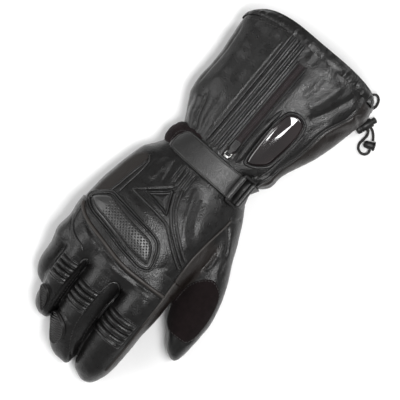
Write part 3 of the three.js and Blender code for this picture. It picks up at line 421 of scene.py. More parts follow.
def blended(a, b, width):
    """The two fields' union, with a fillet of about the given width."""
    h = np.clip(0.5 + 0.5 * (b - a) / width, 0, 1)
    return b * (1 - h) + a * h - width * h * (1 - h)


palm_rows = hand_limb(PALM_ROWS)
palm_rows[0, 0] = WRIST_SEAM_Y
fingers = None
for finger_name in FINGERS:
    limb = limb_field(rounded_tip(finger_limb(finger_name)))
    fingers = limb if fingers is None else blended(fingers, limb, FINGER_FILLET)
hand = blended(limb_field(rounded_tip(palm_rows)), fingers, KNUCKLE_FILLET)
hand = blended(hand, limb_field(rounded_tip(hand_limb(THUMB_ROWS))), THUMB_FILLET)
hand = -blended(-hand, zs[None, None, :] - SOLE_LEVEL, SOLE_FILLET)


def surface(field, low, step):
    """Quads on a field's zero level, one corner in each cell that it crosses."""
    inside = field < 0
    shape = np.array(field.shape) - 1
    count = np.zeros(shape, dtype=np.int8)
    for corner in CORNERS:
        window = tuple(slice(c, c + n) for c, n in zip(corner, shape))
        count += inside[window]
    cells = np.argwhere((count > 0) & (count < 8))
    index = np.full(shape, -1, dtype=np.int64)
    index[tuple(cells.T)] = np.arange(len(cells))
    total = np.zeros((len(cells), 3))
    hits = np.zeros(len(cells))
    for axis in range(3):
        ahead = np.eye(3, dtype=int)[axis]
        for corner in CORNERS:
            if corner[axis]:
                continue
            start = cells + corner
            a = field[tuple(start.T)]
            b = field[tuple((start + ahead).T)]
            crossed = (a < 0) != (b < 0)
            t = np.where(crossed, a / np.where(crossed, a - b, 1), 0)
            total[crossed] += (start + t[:, None] * ahead)[crossed]
            hits += crossed
    points = low + step * total / hits[:, None]
    faces = []
    for axis in range(3):
        first, second = (axis + 1) % 3, (axis + 2) % 3
        ahead = np.eye(3, dtype=int)[axis]
        window_a = tuple(slice(0, n - (1 if k == axis else 0)) for k, n in enumerate(field.shape))
        window_b = tuple(slice(1 if k == axis else 0, n) for k, n in enumerate(field.shape))
        crossing = np.argwhere(inside[window_a] != inside[window_b])
        ok = ((crossing[:, first] > 0) & (crossing[:, second] > 0)
              & (crossing[:, first] < shape[first]) & (crossing[:, second] < shape[second]))
        crossing = crossing[ok]
        one, two = np.eye(3, dtype=int)[first], np.eye(3, dtype=int)[second]
        ring = [crossing - one - two, crossing - two, crossing, crossing - one]
        quad = np.stack([index[tuple(r.T)] for r in ring], axis=1)
        leaving = inside[tuple(crossing.T)]
        quad[~leaving] = quad[~leaving][:, ::-1]
        faces.append(quad)
    faces = np.vstack(faces)
    return points, faces[(faces >= 0).all(axis=1)]


def kept_faces(points, faces, keep):
    """Only the faces whose corners are all kept, with unused points dropped."""
    faces = faces[keep[faces].all(axis=1)]
    used = np.zeros(len(points), dtype=bool)
    used[faces.ravel()] = True
    order = np.cumsum(used) - 1
    return points[used], order[faces]


def face_normals(points, faces):
    """Normals at the points, from the faces around them."""
    n = quad_normals(points, faces)
    total = np.zeros_like(points)
    for k in range(4):
        np.add.at(total, faces[:, k], n)
    return total / np.maximum(np.linalg.norm(total, axis=1), 1e-9)[:, None]


hand_points, hand_faces = surface(hand, np.array(FIELD_LOW, float), STEP)
hand_points, hand_faces = kept_faces(hand_points, hand_faces, hand_points[:, 1] > WRIST_SEAM_Y - 0.2)

# Relief of the leather: seams, folds and soft swelling

# Each line: points in plan, depth (below zero for a raised fold), half width
HAND_LINES = [
    # knuckle seam's groove, fingerwards of its piping
    ([(-42, 123.8), (-20, 125.2), (0, 125), (10, 123.8), (20, 122), (32, 119.6), (45, 116), (57, 110)],
     0.9, 1.3),
    ([(-42, 127.5), (-20, 129), (0, 129), (15, 127), (32, 123.6), (50, 117)], -0.7, 2.2),
    # seams down the fingers
    ([(1, 140), (1.4, 155), (1, 170), (-0.5, 188), (-6, 203), (-14, 214), (-20, 222)], 0.7, 1.0),
    ([(26.5, 150), (26, 165), (25.4, 180), (24.4, 190), (22.6, 200)], 0.7, 1.0),
    ([(-10, 155), (-10.4, 175), (-11.4, 186), (-14, 198), (-18, 211), (-22, 218)], 0.6, 1.0),
    ([(31, 140), (30, 150), (30.4, 165), (30, 180), (28, 195)], 0.5, 1.0),
    ([(51.4, 140), (50.8, 155), (50.4, 165), (48.6, 173), (46.6, 180)], 0.7, 1.0),
    # root of the little finger
    ([(50, 134), (56, 128.5), (61, 122.5), (66, 114)], 0.8, 1.2),
    # folds of the back, towards the strap
    ([(-35, 78), (-27, 72), (-20, 66), (-14, 56), (-10, 45), (-6, 36), (-3, 29)], -0.9, 2.6),
    ([(-31, 66), (-24, 56), (-19, 44), (-15, 31)], 0.8, 3.2),
    ([(2, 44), (3.5, 34), (4, 22)], 0.8, 1.2),
    ([(6.5, 42), (7.2, 32), (7.4, 22)], 0.8, 1.1),
    ([(10.5, 41), (11, 32), (11.2, 22)], 0.8, 1.1),
    ([(14.5, 40), (14.8, 32), (15, 22)], 0.7, 1.1),
    ([(22, 44), (24, 34), (26, 22)], 0.9, 1.8),
    ([(33, 50), (32, 38), (31, 24)], -0.8, 2.6),
    ([(41, 58), (40, 42), (37, 24)], 0.8, 2.2),
    # thumb's root
    ([(-62, 60), (-57, 50), (-51, 42), (-45, 36)], 1.3, 1.8),
    ([(-66, 66), (-61, 54), (-55, 45)], -0.8, 2.4),
    ([(-56, 80), (-57, 72), (-55.5, 64)], -1.2, 1.7),
    ([(-53, 82), (-53.5, 72), (-52, 60)], 1.0, 1.5),
    ([(-52, 26), (-48, 29.5), (-44, 31)], 1.1, 1.5),
    ([(-70, 76), (-68, 68), (-62, 58)], 0.7, 2.2),
    ([(-82, 157), (-80.6, 150), (-79, 142)], 0.8, 1.0),
    ([(-86.5, 134), (-85, 139), (-82, 141.5)], 0.8, 1.2),
    ([(-20, 108), (-24, 104), (-28, 98)], 0.6, 3.0),
    # below the slider pads
    ([(4, 191), (12, 188.6), (22, 188)], 0.7, 1.4),
    ([(33, 183), (40, 179), (46, 175)], 0.7, 1.4),
]
# Soft swellings: middle, height, two half widths and a turn in degrees
HAND_SWELLS = [
    ((-31, 133), 1.5, 9, 8, 0), ((15, 133), 1.5, 10, 8, 0), ((42, 127), 1.0, 8, 7, -20),
    ((-29, 148), 0.9, 8, 7, 0), ((13, 148), 0.9, 8, 7, 0), ((40, 142), 0.8, 6, 6, 0),
    ((-28, 110), 1.2, 10, 9, 0), ((15, 74), 0.9, 20, 4, -5), ((-18, 92), 0.8, 8, 12, 35),
    ((-29, 190), 0.8, 10, 16, 0), ((-14, 204), -0.6, 4, 10, 30),
]


def relief(points, normals, lines, swells):
    """How far each point moves out along its normal. Lines and swells act on the upper side."""
    x, y, z = points.T
    upper = ease((normals[:, 2] + 0.05) / 0.35)
    moved = np.zeros(len(points))
    for line, depth, width in lines:
        line = np.asarray(line, float)
        near = ((x > line[:, 0].min() - 3 * width) & (x < line[:, 0].max() + 3 * width)
                & (y > line[:, 1].min() - 3 * width) & (y < line[:, 1].max() + 3 * width))
        run = smooth_line(line, max(8, int(line_length(line) / 2)))
        d, share = distance_to(run, x[near], y[near])
        fade = ease(share / 0.12) * ease((1 - share) / 0.12)
        moved[near] -= depth * bell(d, width) * (0.25 + 0.75 * fade) * upper[near]
    for (cx, cy), high, wide, deep, turn in swells:
        c, s = cos(radians(turn)), sin(radians(turn))
        u = ((x - cx) * c + (y - cy) * s) / wide
        v = (-(x - cx) * s + (y - cy) * c) / deep
        moved += high * np.exp(-(u * u + v * v)) * upper
    return moved


def floor_fade(points):
    """0 for points on the table, growing to 1 a few millimetres above it."""
    return ease((points[..., 2] - 0.4) / 5)


# Where the outline fills out or draws in a little: middle in plan, reach, move along x and y
OUTLINE_NUDGES = [
    ((-38, 216), 17, -0.5, 4.2), ((-15, 216), 8, -1.2, 5.2), ((27, 197), 6, -0.5, 3.6),
    ((49, 183), 8, -2.4, 0), ((66, 149), 10, -2.4, 0), ((70, 119), 12, -2.0, 0),
    ((50, 28), 11, 2.8, 0), ((-50, 12), 9, -2.4, 0), ((-58, 142), 14, -1.6, 0),
]


def nudged(points, nudges):
    """The points, drawn along in plan near each nudge's middle."""
    moved = points.copy()
    for (x, y), reach, dx, dy in nudges:
        share = np.exp(-((points[..., 0] - x) ** 2 + (points[..., 1] - y) ** 2) / reach**2)
        moved[..., 0] += dx * share
        moved[..., 1] += dy * share
    return moved


hand_points = nudged(hand_points, OUTLINE_NUDGES)
normals = face_normals(hand_points, hand_faces)
off_floor = floor_fade(hand_points)
swell = (0.55 * lumps(*hand_points.T, 26, 3) + 0.28 * lumps(*hand_points.T, 11, 5)
         + 0.1 * lumps(*hand_points.T, 4.5, 7))
near_strap = ease((42 - hand_points[:, 1]) / 26)
swell = swell * (1 + 0.8 * near_strap)
moved = relief(hand_points, normals, HAND_LINES, HAND_SWELLS) + swell
hand_points = hand_points + normals * (moved * off_floor)[:, None]

# The cuff, a dense tube round its sections

cuff_table = CUFF_ROWS * np.array([1, CUFF_WIDTH, CUFF_WIDTH, CUFF_HEIGHT])
cuff_left, cuff_right, cuff_top = (smooth_table(cuff_table[:, 0], cuff_table[:, k]) for k in (1, 2, 3))


def rounded(left, right, bottom, top, angle, grow=0.0):
    """x and z round a section of the hand or cuff, grown outwards."""
    c, s = np.cos(angle), np.sin(angle)
    waist = bottom + (top - bottom) * WAIST
    reach = np.where(s > 0, top + grow - waist, waist - bottom + grow + SOLE_SINK)
    x = (left + right) / 2 + ((right - left) / 2 + grow) * np.sign(c) * np.abs(c) ** SIDE_POWER
    return x, waist + reach * np.sign(s) * np.abs(s) ** BACK_POWER


def cuff_point(along, angle, grow=0.0):
    """Points of the cuff's skin, grown outwards, with along from 0 at the wrist to 1 at the hem."""
    left, right, top = cuff_left(along), cuff_right(along), cuff_top(along)
    bow = HEM_BOW * np.clip(along, 0, 2) ** 3
    y = WRIST_SEAM_Y - along * (CUFF_LENGTH - HEM_BOW) - bow
    x, z = rounded(left, right, 0, top, angle, grow)
    z = np.maximum(z, np.maximum(0.02, -grow))
    y = y + bow * (1 - np.maximum(np.sin(angle), 0)) * (1 + HEM_SKEW * np.cos(angle))
    return np.stack([x, y, z], axis=-1)


def tube_normals(grid):
    """Outward normals of a grid whose columns run round a tube."""
    around = np.roll(grid, -1, axis=1) - np.roll(grid, 1, axis=1)
    along = np.gradient(grid, axis=0)
    n = np.cross(along, around)
    n /= np.maximum(np.linalg.norm(n, axis=-1), 1e-9)[..., None]
    middle = grid.mean(axis=1, keepdims=True)
    return n if ((grid - middle) * n).sum() > 0 else -n


CUFF_LINES = [
    # seam between the back and the palm's panel
    ([(-43, -4), (-45, -12), (-48, -22), (-50, -32), (-53, -42), (-55, -52), (-56, -62), (-56.5, -72),
      (-58, -80), (-61, -88), (-64, -95), (-66.5, -102), (-67.5, -115)], 1.1, 1.1),
    ([(-40, -8), (-43, -18), (-46.5, -32), (-49.5, -44), (-51.5, -56), (-52.5, -70), (-55, -82),
      (-60, -94)], -0.5, 2.2),
    ([(55, -42), (55.4, -55), (54.6, -70), (54.4, -82), (56, -95), (58.6, -108)], 0.6, 0.9),
    # pinches beside the strap
    ([(30, -7), (33, -13), (37, -20), (41, -31), (44, -42)], 1.9, 2.2),
    ([(35, -6), (40, -14), (45, -24), (50, -36)], -1.2, 2.6),
    ([(24, -6), (27, -16), (30, -30), (31, -46)], 0.9, 2.6),
    ([(44, -10), (49, -20), (53, -32)], 0.9, 2.0),
    ([(-47, -4), (-50, -12), (-52, -22)], 0.9, 1.8),
    ([(-34, -6), (-37, -12), (-41, -20)], 0.9, 1.6),
    # either side of the zip, and the roll next to the window
    ([(-11.2, -8), (-11.4, -40), (-11.4, -80), (-11, -108)], 0.8, 0.9),
    ([(-0.6, -6), (-0.4, -40), (-0.4, -80), (0, -112)], 0.7, 0.8),
    ([(-16, -10), (-14.6, -22), (-14, -40), (-15, -58)], -1.4, 2.6),
    ([(-18.6, -16), (-17.8, -28), (-17.8, -44), (-19, -56)], 0.9, 1.3),
    # between the ridges
    ([(5.6, -6), (5.8, -60), (6, -124)], 0.7, 0.9),
    ([(10.6, -6), (10.8, -60), (11, -124)], 0.7, 0.9),
    ([(15.4, -6), (15.6, -60), (15.8, -124)], 0.7, 0.9),
    ([(19.6, -6), (20, -60), (20.2, -124)], 0.7, 0.9),
    # folds above the hem on the thumb side
    ([(-40, -78), (-48, -92), (-54, -108), (-57, -120)], 1.2, 3.2),
    ([(-33, -84), (-38, -98), (-42, -112), (-44, -124)], -1.0, 4.0),
    ([(-62, -76), (-68, -88), (-74, -98)], 0.9, 3.0),
    ([(-80, -103), (-74, -106), (-68, -109)], 1.4, 2.0),
    ([(-24, -90), (-26, -104), (-26, -120)], 0.7, 3.2),
    ([(30, -60), (32, -80), (30, -104), (28, -122)], 0.7, 3.6),
    ([(46, -50), (45, -74), (47, -98), (50, -114)], -0.6, 4.0),
]
CUFF_SWELLS = [
    ((-34, -44), -0.8, 7, 24, 0), ((40, -70), 0.9, 9, 26, 0), ((-62, -60), 0.6, 6, 22, 12),
    ((-16, -94), 0.8, 9, 16, 0),
]
CUFF_NUDGES = [
    ((-10, -136), 42, 0, 3.2), ((46, -30), 9, -2.2, 0), ((-45, -16), 8, -3.4, 0),
    ((-72, -112), 12, -3.0, -1.5), ((62, -80), 16, 1.0, 0),
]
CUFF_ROUND, CUFF_STEPS = 380, 176
HEM_START = 0.945

turns = np.linspace(0, 2 * pi, CUFF_ROUND, endpoint=False)
alongs = np.linspace(-0.03, HEM_START + 0.006, CUFF_STEPS)
cuff_grid = cuff_point(alongs[:, None], turns[None, :])
cuff_normal = tube_normals(cuff_grid)
flat, flat_normal = cuff_grid.reshape(-1, 3), cuff_normal.reshape(-1, 3)
swell = 0.7 * lumps(*flat.T, 30, 13) + 0.3 * lumps(*flat.T, 12, 15) + 0.1 * lumps(*flat.T, 5, 17)
row_along = np.repeat(alongs, CUFF_ROUND)
gather_share = ease((row_along - 0.83) / 0.11)
thumb_side = 0.55 + 0.75 * ease((-flat[:, 0] - 15) / 40)
gather = lumps(flat[:, 0], flat[:, 1] * 0.22, flat[:, 2] * 0.8, 4.6, 21)
pinch = ease((0.2 - row_along) / 0.2)
pleat = lumps(flat[:, 0], flat[:, 1] * 0.2, flat[:, 2] * 0.6, 5.2, 23)
moved = (relief(flat, flat_normal, CUFF_LINES, CUFF_SWELLS) + swell
         + gather * gather_share * thumb_side * 1.1 + pleat * pinch * 0.7)
flat = flat + flat_normal * (moved * floor_fade(flat))[:, None]
cuff_points = nudged(flat, CUFF_NUDGES)
cuff_faces = grid_faces(CUFF_STEPS, CUFF_ROUND, wrap=True)
PANEL_SEAM = smooth_line(CUFF_LINES[0][0], 60)


# Heights of the leather over the table

skin_points = np.vstack([hand_points, cuff_points])
skin_faces = np.vstack([hand_faces, cuff_faces + len(hand_points)])
skin = BVHTree.FromPolygons(skin_points.tolist(), skin_faces.tolist())
MAP_STEP = 0.75
ABOVE_ALL = 120
OUTSIDE_STEPS, OUTSIDE_FALL = 6, 1.6
map_x = np.arange(-104, 76, MAP_STEP)
map_y = np.arange(-146, 230, MAP_STEP)
down = Vector((0, 0, -1))
heights = np.zeros((len(map_x), len(map_y)))
for i, x in enumerate(map_x):
    for j, y in enumerate(map_y):
        hit = skin.ray_cast(Vector((x, y, ABOVE_ALL)), down)[0]
        if hit is not None:
            heights[i, j] = hit.z
# Past the outline the map falls away gently, so that trims bend down over the side
for _ in range(OUTSIDE_STEPS):
    wide = np.pad(heights, 1)
    beside = np.max([wide[:-2, 1:-1], wide[2:, 1:-1], wide[1:-1, :-2], wide[1:-1, 2:]], axis=0)
    heights = np.where(heights > 0.5, heights, np.maximum(beside - OUTSIDE_FALL, heights))


def sampled(x, y):
    """The leather's height over places in plan."""
    u = np.clip((np.asarray(x) - map_x[0]) / MAP_STEP, 0, len(map_x) - 1.001)
    v = np.clip((np.asarray(y) - map_y[0]) / MAP_STEP, 0, len(map_y) - 1.001)
    i, j = u.astype(int), v.astype(int)
    s, t = u - i, v - j
    return ((heights[i, j] * (1 - s) + heights[i + 1, j] * s) * (1 - t)
            + (heights[i, j + 1] * (1 - s) + heights[i + 1, j + 1] * s) * t)


SLOPE_REACH = 1.6
MAX_SLOPE = 2.5


def on_skin(plan, lift):
    """Points over the leather at the places in plan, lifted along its normal."""
    plan = np.asarray(plan, float)
    x, y = plan[..., 0], plan[..., 1]
    z = sampled(x, y)
    r = SLOPE_REACH
    sx = np.clip((sampled(x + r, y) - sampled(x - r, y)) / (2 * r), -MAX_SLOPE, MAX_SLOPE)
    sy = np.clip((sampled(x, y + r) - sampled(x, y - r)) / (2 * r), -MAX_SLOPE, MAX_SLOPE)
    normal = np.stack([-sx, -sy, np.ones_like(z)], axis=-1)
    normal /= np.linalg.norm(normal, axis=-1)[..., None]
    return np.stack([x, y, z], axis=-1) + normal * np.asarray(lift)[..., None], normal


# Builders for what is sewn or set on the leather

def slab(name, plan, lift, look, slot, nodes=(), sink=-0.7, tone=None):
    """A closed pad on the leather: a grid in plan, lifted by a height at each of its points."""
    upper = on_skin(plan, lift)[0]
    lower = on_skin(plan, np.full(plan.shape[:2], sink))[0]
    tones = None if tone is None else np.concatenate([np.ravel(tone), np.ravel(tone)])
    return make(name, *closed_sheet(upper, lower), look, slot, nodes, tone=tones)


def even_height(plan, z, order_x, order_y):
    """The smooth height that runs through a rough one: low powers of both places in plan."""
    x = (plan[..., 0] - plan[..., 0].mean()) / 30
    y = (plan[..., 1] - plan[..., 1].mean()) / 30
    terms = np.stack([x**i * y**j for i in range(order_x + 1) for j in range(order_y + 1)], axis=-1)
    fit = np.linalg.lstsq(terms.reshape(-1, terms.shape[-1]), z.ravel(), rcond=None)[0]
    return terms @ fit


BAND_STEP = 1.0


def left_of(ahead):
    """Unit vectors to the left of directions in plan."""
    ahead = unit(ahead)
    return np.stack([-ahead[:, 1], ahead[:, 0]], axis=1)


def scaled(outline, share):
    """An outline made larger or smaller about its middle."""
    middle = outline.mean(axis=0)
    return middle + (outline - middle) * share


def crossings(outline, u):
    """Lowest and highest second coordinate of a closed outline at each first coordinate u."""
    a, b = outline, np.roll(outline, -1, axis=0)
    low, high = np.full(len(u), np.inf), np.full(len(u), -np.inf)
    for p, q in zip(a, b):
        left, right = (p, q) if p[0] <= q[0] else (q, p)
        inside = (u >= left[0]) & (u <= right[0])
        span = max(right[0] - left[0], 1e-9)
        v = left[1] + (right[1] - left[1]) * (u - left[0]) / span
        low = np.where(inside, np.minimum(low, v), low)
        high = np.where(inside, np.maximum(high, v), high)
    return low, high


def outline_grid(outline, rows, columns, turn=0.0):
    """A grid in plan that fills a rounded outline, with its rows across the turned first axis."""
    c, s = cos(radians(turn)), sin(radians(turn))
    spin = np.array([[c, -s], [s, c]])
    local = outline @ spin
    first, last = local[:, 0].min(), local[:, 0].max()
    u = (first + last) / 2 - (last - first) / 2 * np.cos(np.linspace(0.02, pi - 0.02, rows)) * 0.9995
    low, high = crossings(local, u)
    share = (1 - np.cos(np.linspace(0, pi, columns))) / 2 * 0.35 + np.linspace(0, 1, columns) * 0.65
    v = low[:, None] + (high - low)[:, None] * share[None, :]
    grid = np.stack([np.repeat(u[:, None], columns, axis=1), v], axis=-1)
    return grid @ spin.T


def edge_distance(grid, outline):
    """Distance in plan from each point of a grid to a closed outline."""
    closed = np.vstack([outline, outline[:1]])
    return distance_to(closed, grid[..., 0], grid[..., 1])[0]


def band_shape(line, profile, closed=False, taper=2.0):
    """A sewn band, piping or roll: a profile of (across, height) swept along a line in plan."""
    length = line_length(np.vstack([line, line[:1]]) if closed else line)
    count = max(8, int(length / BAND_STEP))
    run = smooth_line(line, count, closed)
    ahead = np.roll(run, -1, axis=0) - np.roll(run, 1, axis=0) if closed else np.gradient(run, axis=0)
    across = left_of(ahead)
    profile = np.asarray(profile, float)
    spots = np.linspace(0, length, count)
    share = np.ones(count)
    if not closed:
        share = np.sqrt(np.clip(np.minimum(spots, length - spots) / taper, 0.02, 1))
    plan = run[:, None, :] + across[:, None, :] * (profile[None, :, 0] * share[:, None])[..., None]
    lift = np.where(profile[None, :, 1] > 0, profile[None, :, 1] * share[:, None], profile[None, :, 1])
    points = on_skin(plan, lift)[0]
    rows, columns = points.shape[:2]
    faces = tube_faces(rows, columns, closed)
    crest = faces[:(rows - 1) * columns].reshape(rows - 1, columns, 4)[:, columns // 2 - 1]
    points = points.reshape(-1, 3)
    return points, outward(faces, crest, points)


def band(name, line, profile, look, slot, nodes, closed=False, taper=2.0):
    make(name, *band_shape(line, profile, closed, taper), look, slot, nodes)


def rolls(name, lines):
    """One piece of several rolls in the leather: (points, count, width, rise, taper) for each."""
    parts = [band_shape(smooth_line(line, count), round_profile(width, rise), taper=taper)
             for line, count, width, rise, taper in lines]
    make(name, *merged(parts), leather_look, "leather")


def round_profile(width, rise, count=9, sink=-0.6):
    """A half-round profile, with its foot sunk in the leather."""
    angle = np.linspace(pi, 0, count - (count + 1) % 2)
    rows = [(-width / 2, sink)] + [(width / 2 * cos(a), rise * sin(a)) for a in angle] + [(width / 2, sink)]
    if len(rows) % 2:
        rows.insert(len(rows) // 2, (0.0, rise))
    return rows


stitch_parts = {}
STITCH_SIDES = 6
# along, radius
STITCH_PROFILE = [(-0.5, 0.25), (-0.36, 0.85), (0, 1.0), (0.36, 0.85), (0.5, 0.25)]


def stitches(line, group, pitch=2.7, length=1.9, radius=0.26, lift=0.12, closed=False):
    """Thread along a seam: a row of short rounded stitches lying on the leather."""
    count = max(2, int(line_length(line) / pitch))
    run = smooth_line(line, count * 2 + 1, closed)
    middle = run[1::2][:count]
    ahead = unit((run[2::2] - run[:-1:2])[:count])
    points, normal = on_skin(middle, np.full(len(middle), lift))
    t = np.concatenate([ahead, np.zeros((len(ahead), 1))], axis=1)
    t = unit(t - (t * normal).sum(axis=1)[:, None] * normal)
    b = np.cross(normal, t)
    shape = np.array([(s * length, r * radius * cos(a), r * radius * sin(a)) for s, r in STITCH_PROFILE
                      for a in [2 * pi * k / STITCH_SIDES for k in range(STITCH_SIDES)]])
    faces = grid_faces(len(STITCH_PROFILE), STITCH_SIDES, wrap=True)
    ends = np.array([[0, 1, 2, 3], [0, 3, 4, 5]])
    faces = np.vstack([faces, ends[:, ::-1], ends + (len(STITCH_PROFILE) - 1) * STITCH_SIDES])
    cloud = (points[:, None] + shape[None, :, 0, None] * t[:, None] + shape[None, :, 1, None] * b[:, None]
             + shape[None, :, 2, None] * normal[:, None])
    every = (faces[None] + (np.arange(len(points)) * len(shape))[:, None, None]).reshape(-1, 4)
    stitch_parts.setdefault(group, []).append((cloud.reshape(-1, 3), every))


# Materials

class Look:
    """A procedural material built from a few shared steps."""

    def __init__(self, name, rough=0.5, metallic=0.0, specular=0.5, coat=0.0, coat_rough=0.1, sheen=0.0):
        self.material = bpy.data.materials.new(name)
        self.material.use_nodes = True
        self.tree = self.material.node_tree
        self.shader = self.tree.nodes["Principled BSDF"]
        for socket, value in (("Roughness", rough), ("Metallic", metallic), ("Specular IOR Level", specular),
                              ("Coat Weight", coat), ("Coat Roughness", coat_rough), ("Sheen Weight", sheen)):
            self.shader.inputs[socket].default_value = value
        self.place = self.tree.nodes.new("ShaderNodeTexCoord").outputs["Object"]

    def node(self, kind, **settings):
        made = self.tree.nodes.new(kind)
        for key, value in settings.items():
            setattr(made, key, value)
        return made

    def link(self, a, b):
        self.tree.links.new(a, b)

    def noise(self, scale, detail=3.0, rough=0.55):
        made = self.node("ShaderNodeTexNoise")
        made.inputs["Scale"].default_value = scale
        made.inputs["Detail"].default_value = detail
        made.inputs["Roughness"].default_value = rough
        self.link(self.place, made.inputs["Vector"])
        return made.outputs["Fac"]

    def cells(self, scale):
        made = self.node("ShaderNodeTexVoronoi")
        made.inputs["Scale"].default_value = scale
        self.link(self.place, made.inputs["Vector"])
        return made.outputs["Distance"]

    def wave(self, scale, direction, distortion=0.0):
        made = self.node("ShaderNodeTexWave", bands_direction=direction)
        made.inputs["Scale"].default_value = scale
        made.inputs["Distortion"].default_value = distortion
        self.link(self.place, made.inputs["Vector"])
        return made.outputs["Fac"]

    def mapped(self, value, low, high, to_low, to_high):
        made = self.node("ShaderNodeMapRange")
        for socket, number in zip(("From Min", "From Max", "To Min", "To Max"), (low, high, to_low, to_high)):
            made.inputs[socket].default_value = number
        self.link(value, made.inputs["Value"])
        return made.outputs["Result"]

    def maths(self, kind, a, b):
        made = self.node("ShaderNodeMath", operation=kind)
        for socket, value in zip(made.inputs, (a, b)):
            if isinstance(value, (int, float)):
                socket.default_value = value
            else:
                self.link(value, socket)
        return made.outputs["Value"]

    def blend(self, share, a, b):
        """A colour between a and b, each a colour or a socket."""
        made = self.node("ShaderNodeMix", data_type="RGBA")
        self.link(share, made.inputs["Factor"])
        for socket, value in ((made.inputs[6], a), (made.inputs[7], b)):
            if isinstance(value, tuple):
                socket.default_value = (*value, 1)
            else:
                self.link(value, socket)
        return made.outputs[2]

    def colour(self, value):
        self.link(value, self.shader.inputs["Base Color"])

    def roughness(self, value):
        self.link(value, self.shader.inputs["Roughness"])

    def mottled(self, scale, detail, dark, light):
        """A colour that wanders softly between a dark and a light one."""
        return self.blend(self.mapped(self.noise(scale, detail), 0.3, 0.7, 0, 1), dark, light)

    def bump(self, height, distance, strength=1.0, under=None):
        made = self.node("ShaderNodeBump")
        made.inputs["Distance"].default_value = distance
        made.inputs["Strength"].default_value = strength
        self.link(height, made.inputs["Height"])
        if under is not None:
            self.link(under, made.inputs["Normal"])
        self.link(made.outputs["Normal"], self.shader.inputs["Normal"])
        return made.outputs["Normal"]

    def attribute(self, name):
        made = self.node("ShaderNodeAttribute", attribute_name=name)
        return made.outputs["Fac"]


def leather(name, dark, light, rough, grain, depth, specular, tone=None):
    """Grained leather, lighter in colour on its most convex ridges, with a second colour where the tone
    attribute is: a brown panel, or painted shade in punched holes.
    """
    look = Look(name, rough=rough, specular=specular)
    colour = look.mottled(70, 4, dark, light)
    # Colour made lighter on the most convex ridges, from the surface's pointiness
    convexity = look.node("ShaderNodeNewGeometry").outputs["Pointiness"]
    ridge_lightening = look.mapped(convexity, 0.53, 0.62, 0, 0.55)
    colour = look.blend(ridge_lightening, colour, tuple(1.8 * c + 0.003 for c in light))
    if tone:
        colour = look.blend(look.attribute("tone"), colour, tone)
    look.colour(colour)
    pebbles = look.cells(grain)
    fine = look.noise(grain * 2.3, 3)
    height = look.maths("ADD", look.mapped(pebbles, 0, 0.75, 0, 1), look.mapped(fine, 0.2, 0.8, 0, 0.5))
    look.roughness(look.mapped(look.noise(grain * 0.35, 3), 0.25, 0.75, rough - 0.07, rough + 0.1))
    wide = look.bump(look.noise(130, 2), 0.0007, 0.2)
    look.bump(height, depth, 0.8, under=wide)
    return look.material


BROWN = (0.0105, 0.0079, 0.0068)
# Painted shade: the near-black colour put into the knuckle pad's punched holes, standing for the shade inside
# real holes
HOLE_SHADE = (0.0008, 0.0008, 0.0008)
leather_look = leather("glove_leather", (0.003, 0.0028, 0.0028), (0.006, 0.0057, 0.0056),
                       0.31, 740, 0.00015, 0.38, tone=BROWN)
smooth_look = leather("smooth_leather", (0.009, 0.0073, 0.0063), (0.015, 0.0123, 0.0107), 0.42, 1500,
                      0.00006, 0.4)
strap_look = leather("strap_leather", (0.006, 0.0058, 0.0057), (0.01, 0.0097, 0.0095), 0.36, 1000, 0.00014,
                     0.55)
# The pad's second colour, set by its tone attribute, is the painted shade in its punched holes
pad_look = leather("pad_leather", (0.009, 0.0087, 0.0086), (0.014, 0.0136, 0.0133),
                   0.4, 1300, 0.00004, 0.8, tone=HOLE_SHADE)


def matt(name, dark, light, rough, scale, depth, sheen=0.0, specular=0.25):
    """A plain mottled surface with a fine rough bump."""
    look = Look(name, rough=rough, sheen=sheen, specular=specular)
    look.colour(look.mottled(scale * 0.12, 4, dark, light))
    look.bump(look.noise(scale, 4, 0.7), depth, 0.9)
    return look.material


suede_look = matt("thumb_suede", (0.0048, 0.0028, 0.003), (0.0085, 0.0052, 0.0056), 0.95, 1500, 0.0003,
                  0.03, 0.12)
pile_look = matt("wrist_pile", (0.0055, 0.0032, 0.0036), (0.013, 0.008, 0.0088), 1.0, 1100, 0.0007, 0.05,
                 0.12)
plastic_look = matt("satin_plastic", (0.0055, 0.0052, 0.0052), (0.009, 0.0086, 0.0084), 0.42, 2600, 0.00002,
                    0, 0.38)
slider_look = matt("slider_plastic", (0.006, 0.0056, 0.0055), (0.0105, 0.0098, 0.0095), 0.48, 2000, 0.00004,
                   0, 0.32)
inner_look = matt("inner_leather", (0.012, 0.0115, 0.0115), (0.02, 0.019, 0.019), 1.0, 900, 0.0004, 0.2)
thread_look = matt("black_thread", (0.014, 0.013, 0.0128), (0.04, 0.037, 0.036), 0.45, 6000, 0.00005, 0.05,
                   0.45)


def woven(name, dark, light, rough, scale, depth):
    """Cloth with two crossing sets of threads."""
    look = Look(name, rough=rough, specular=0.3)
    a, b = look.wave(scale, "DIAGONAL", 0.5), look.wave(scale * 1.1, "Y", 0.5)
    threads = look.maths("MAXIMUM", a, b)
    look.colour(look.blend(look.mapped(threads, 0.2, 1, 0, 1), dark, light))
    look.bump(threads, depth, 0.8)
    return look.material


panel_look = woven("side_cloth", (0.0075, 0.0062, 0.0055), (0.0175, 0.0145, 0.0128), 0.72, 420, 0.00012)
tape_look = woven("zip_tape", (0.0045, 0.0028, 0.003), (0.0125, 0.0082, 0.0088), 0.7, 520, 0.00012)
cord_look = woven("braided_cord", (0.0085, 0.008, 0.008), (0.028, 0.026, 0.025), 0.6, 700, 0.00012)

metal = Look("bright_metal", rough=0.34, metallic=1.0)
metal.colour(metal.mottled(900, 3, (0.3, 0.3, 0.29), (0.46, 0.46, 0.45)))
metal.bump(metal.noise(2400, 2), 0.00002, 0.6)
metal_look = metal.material

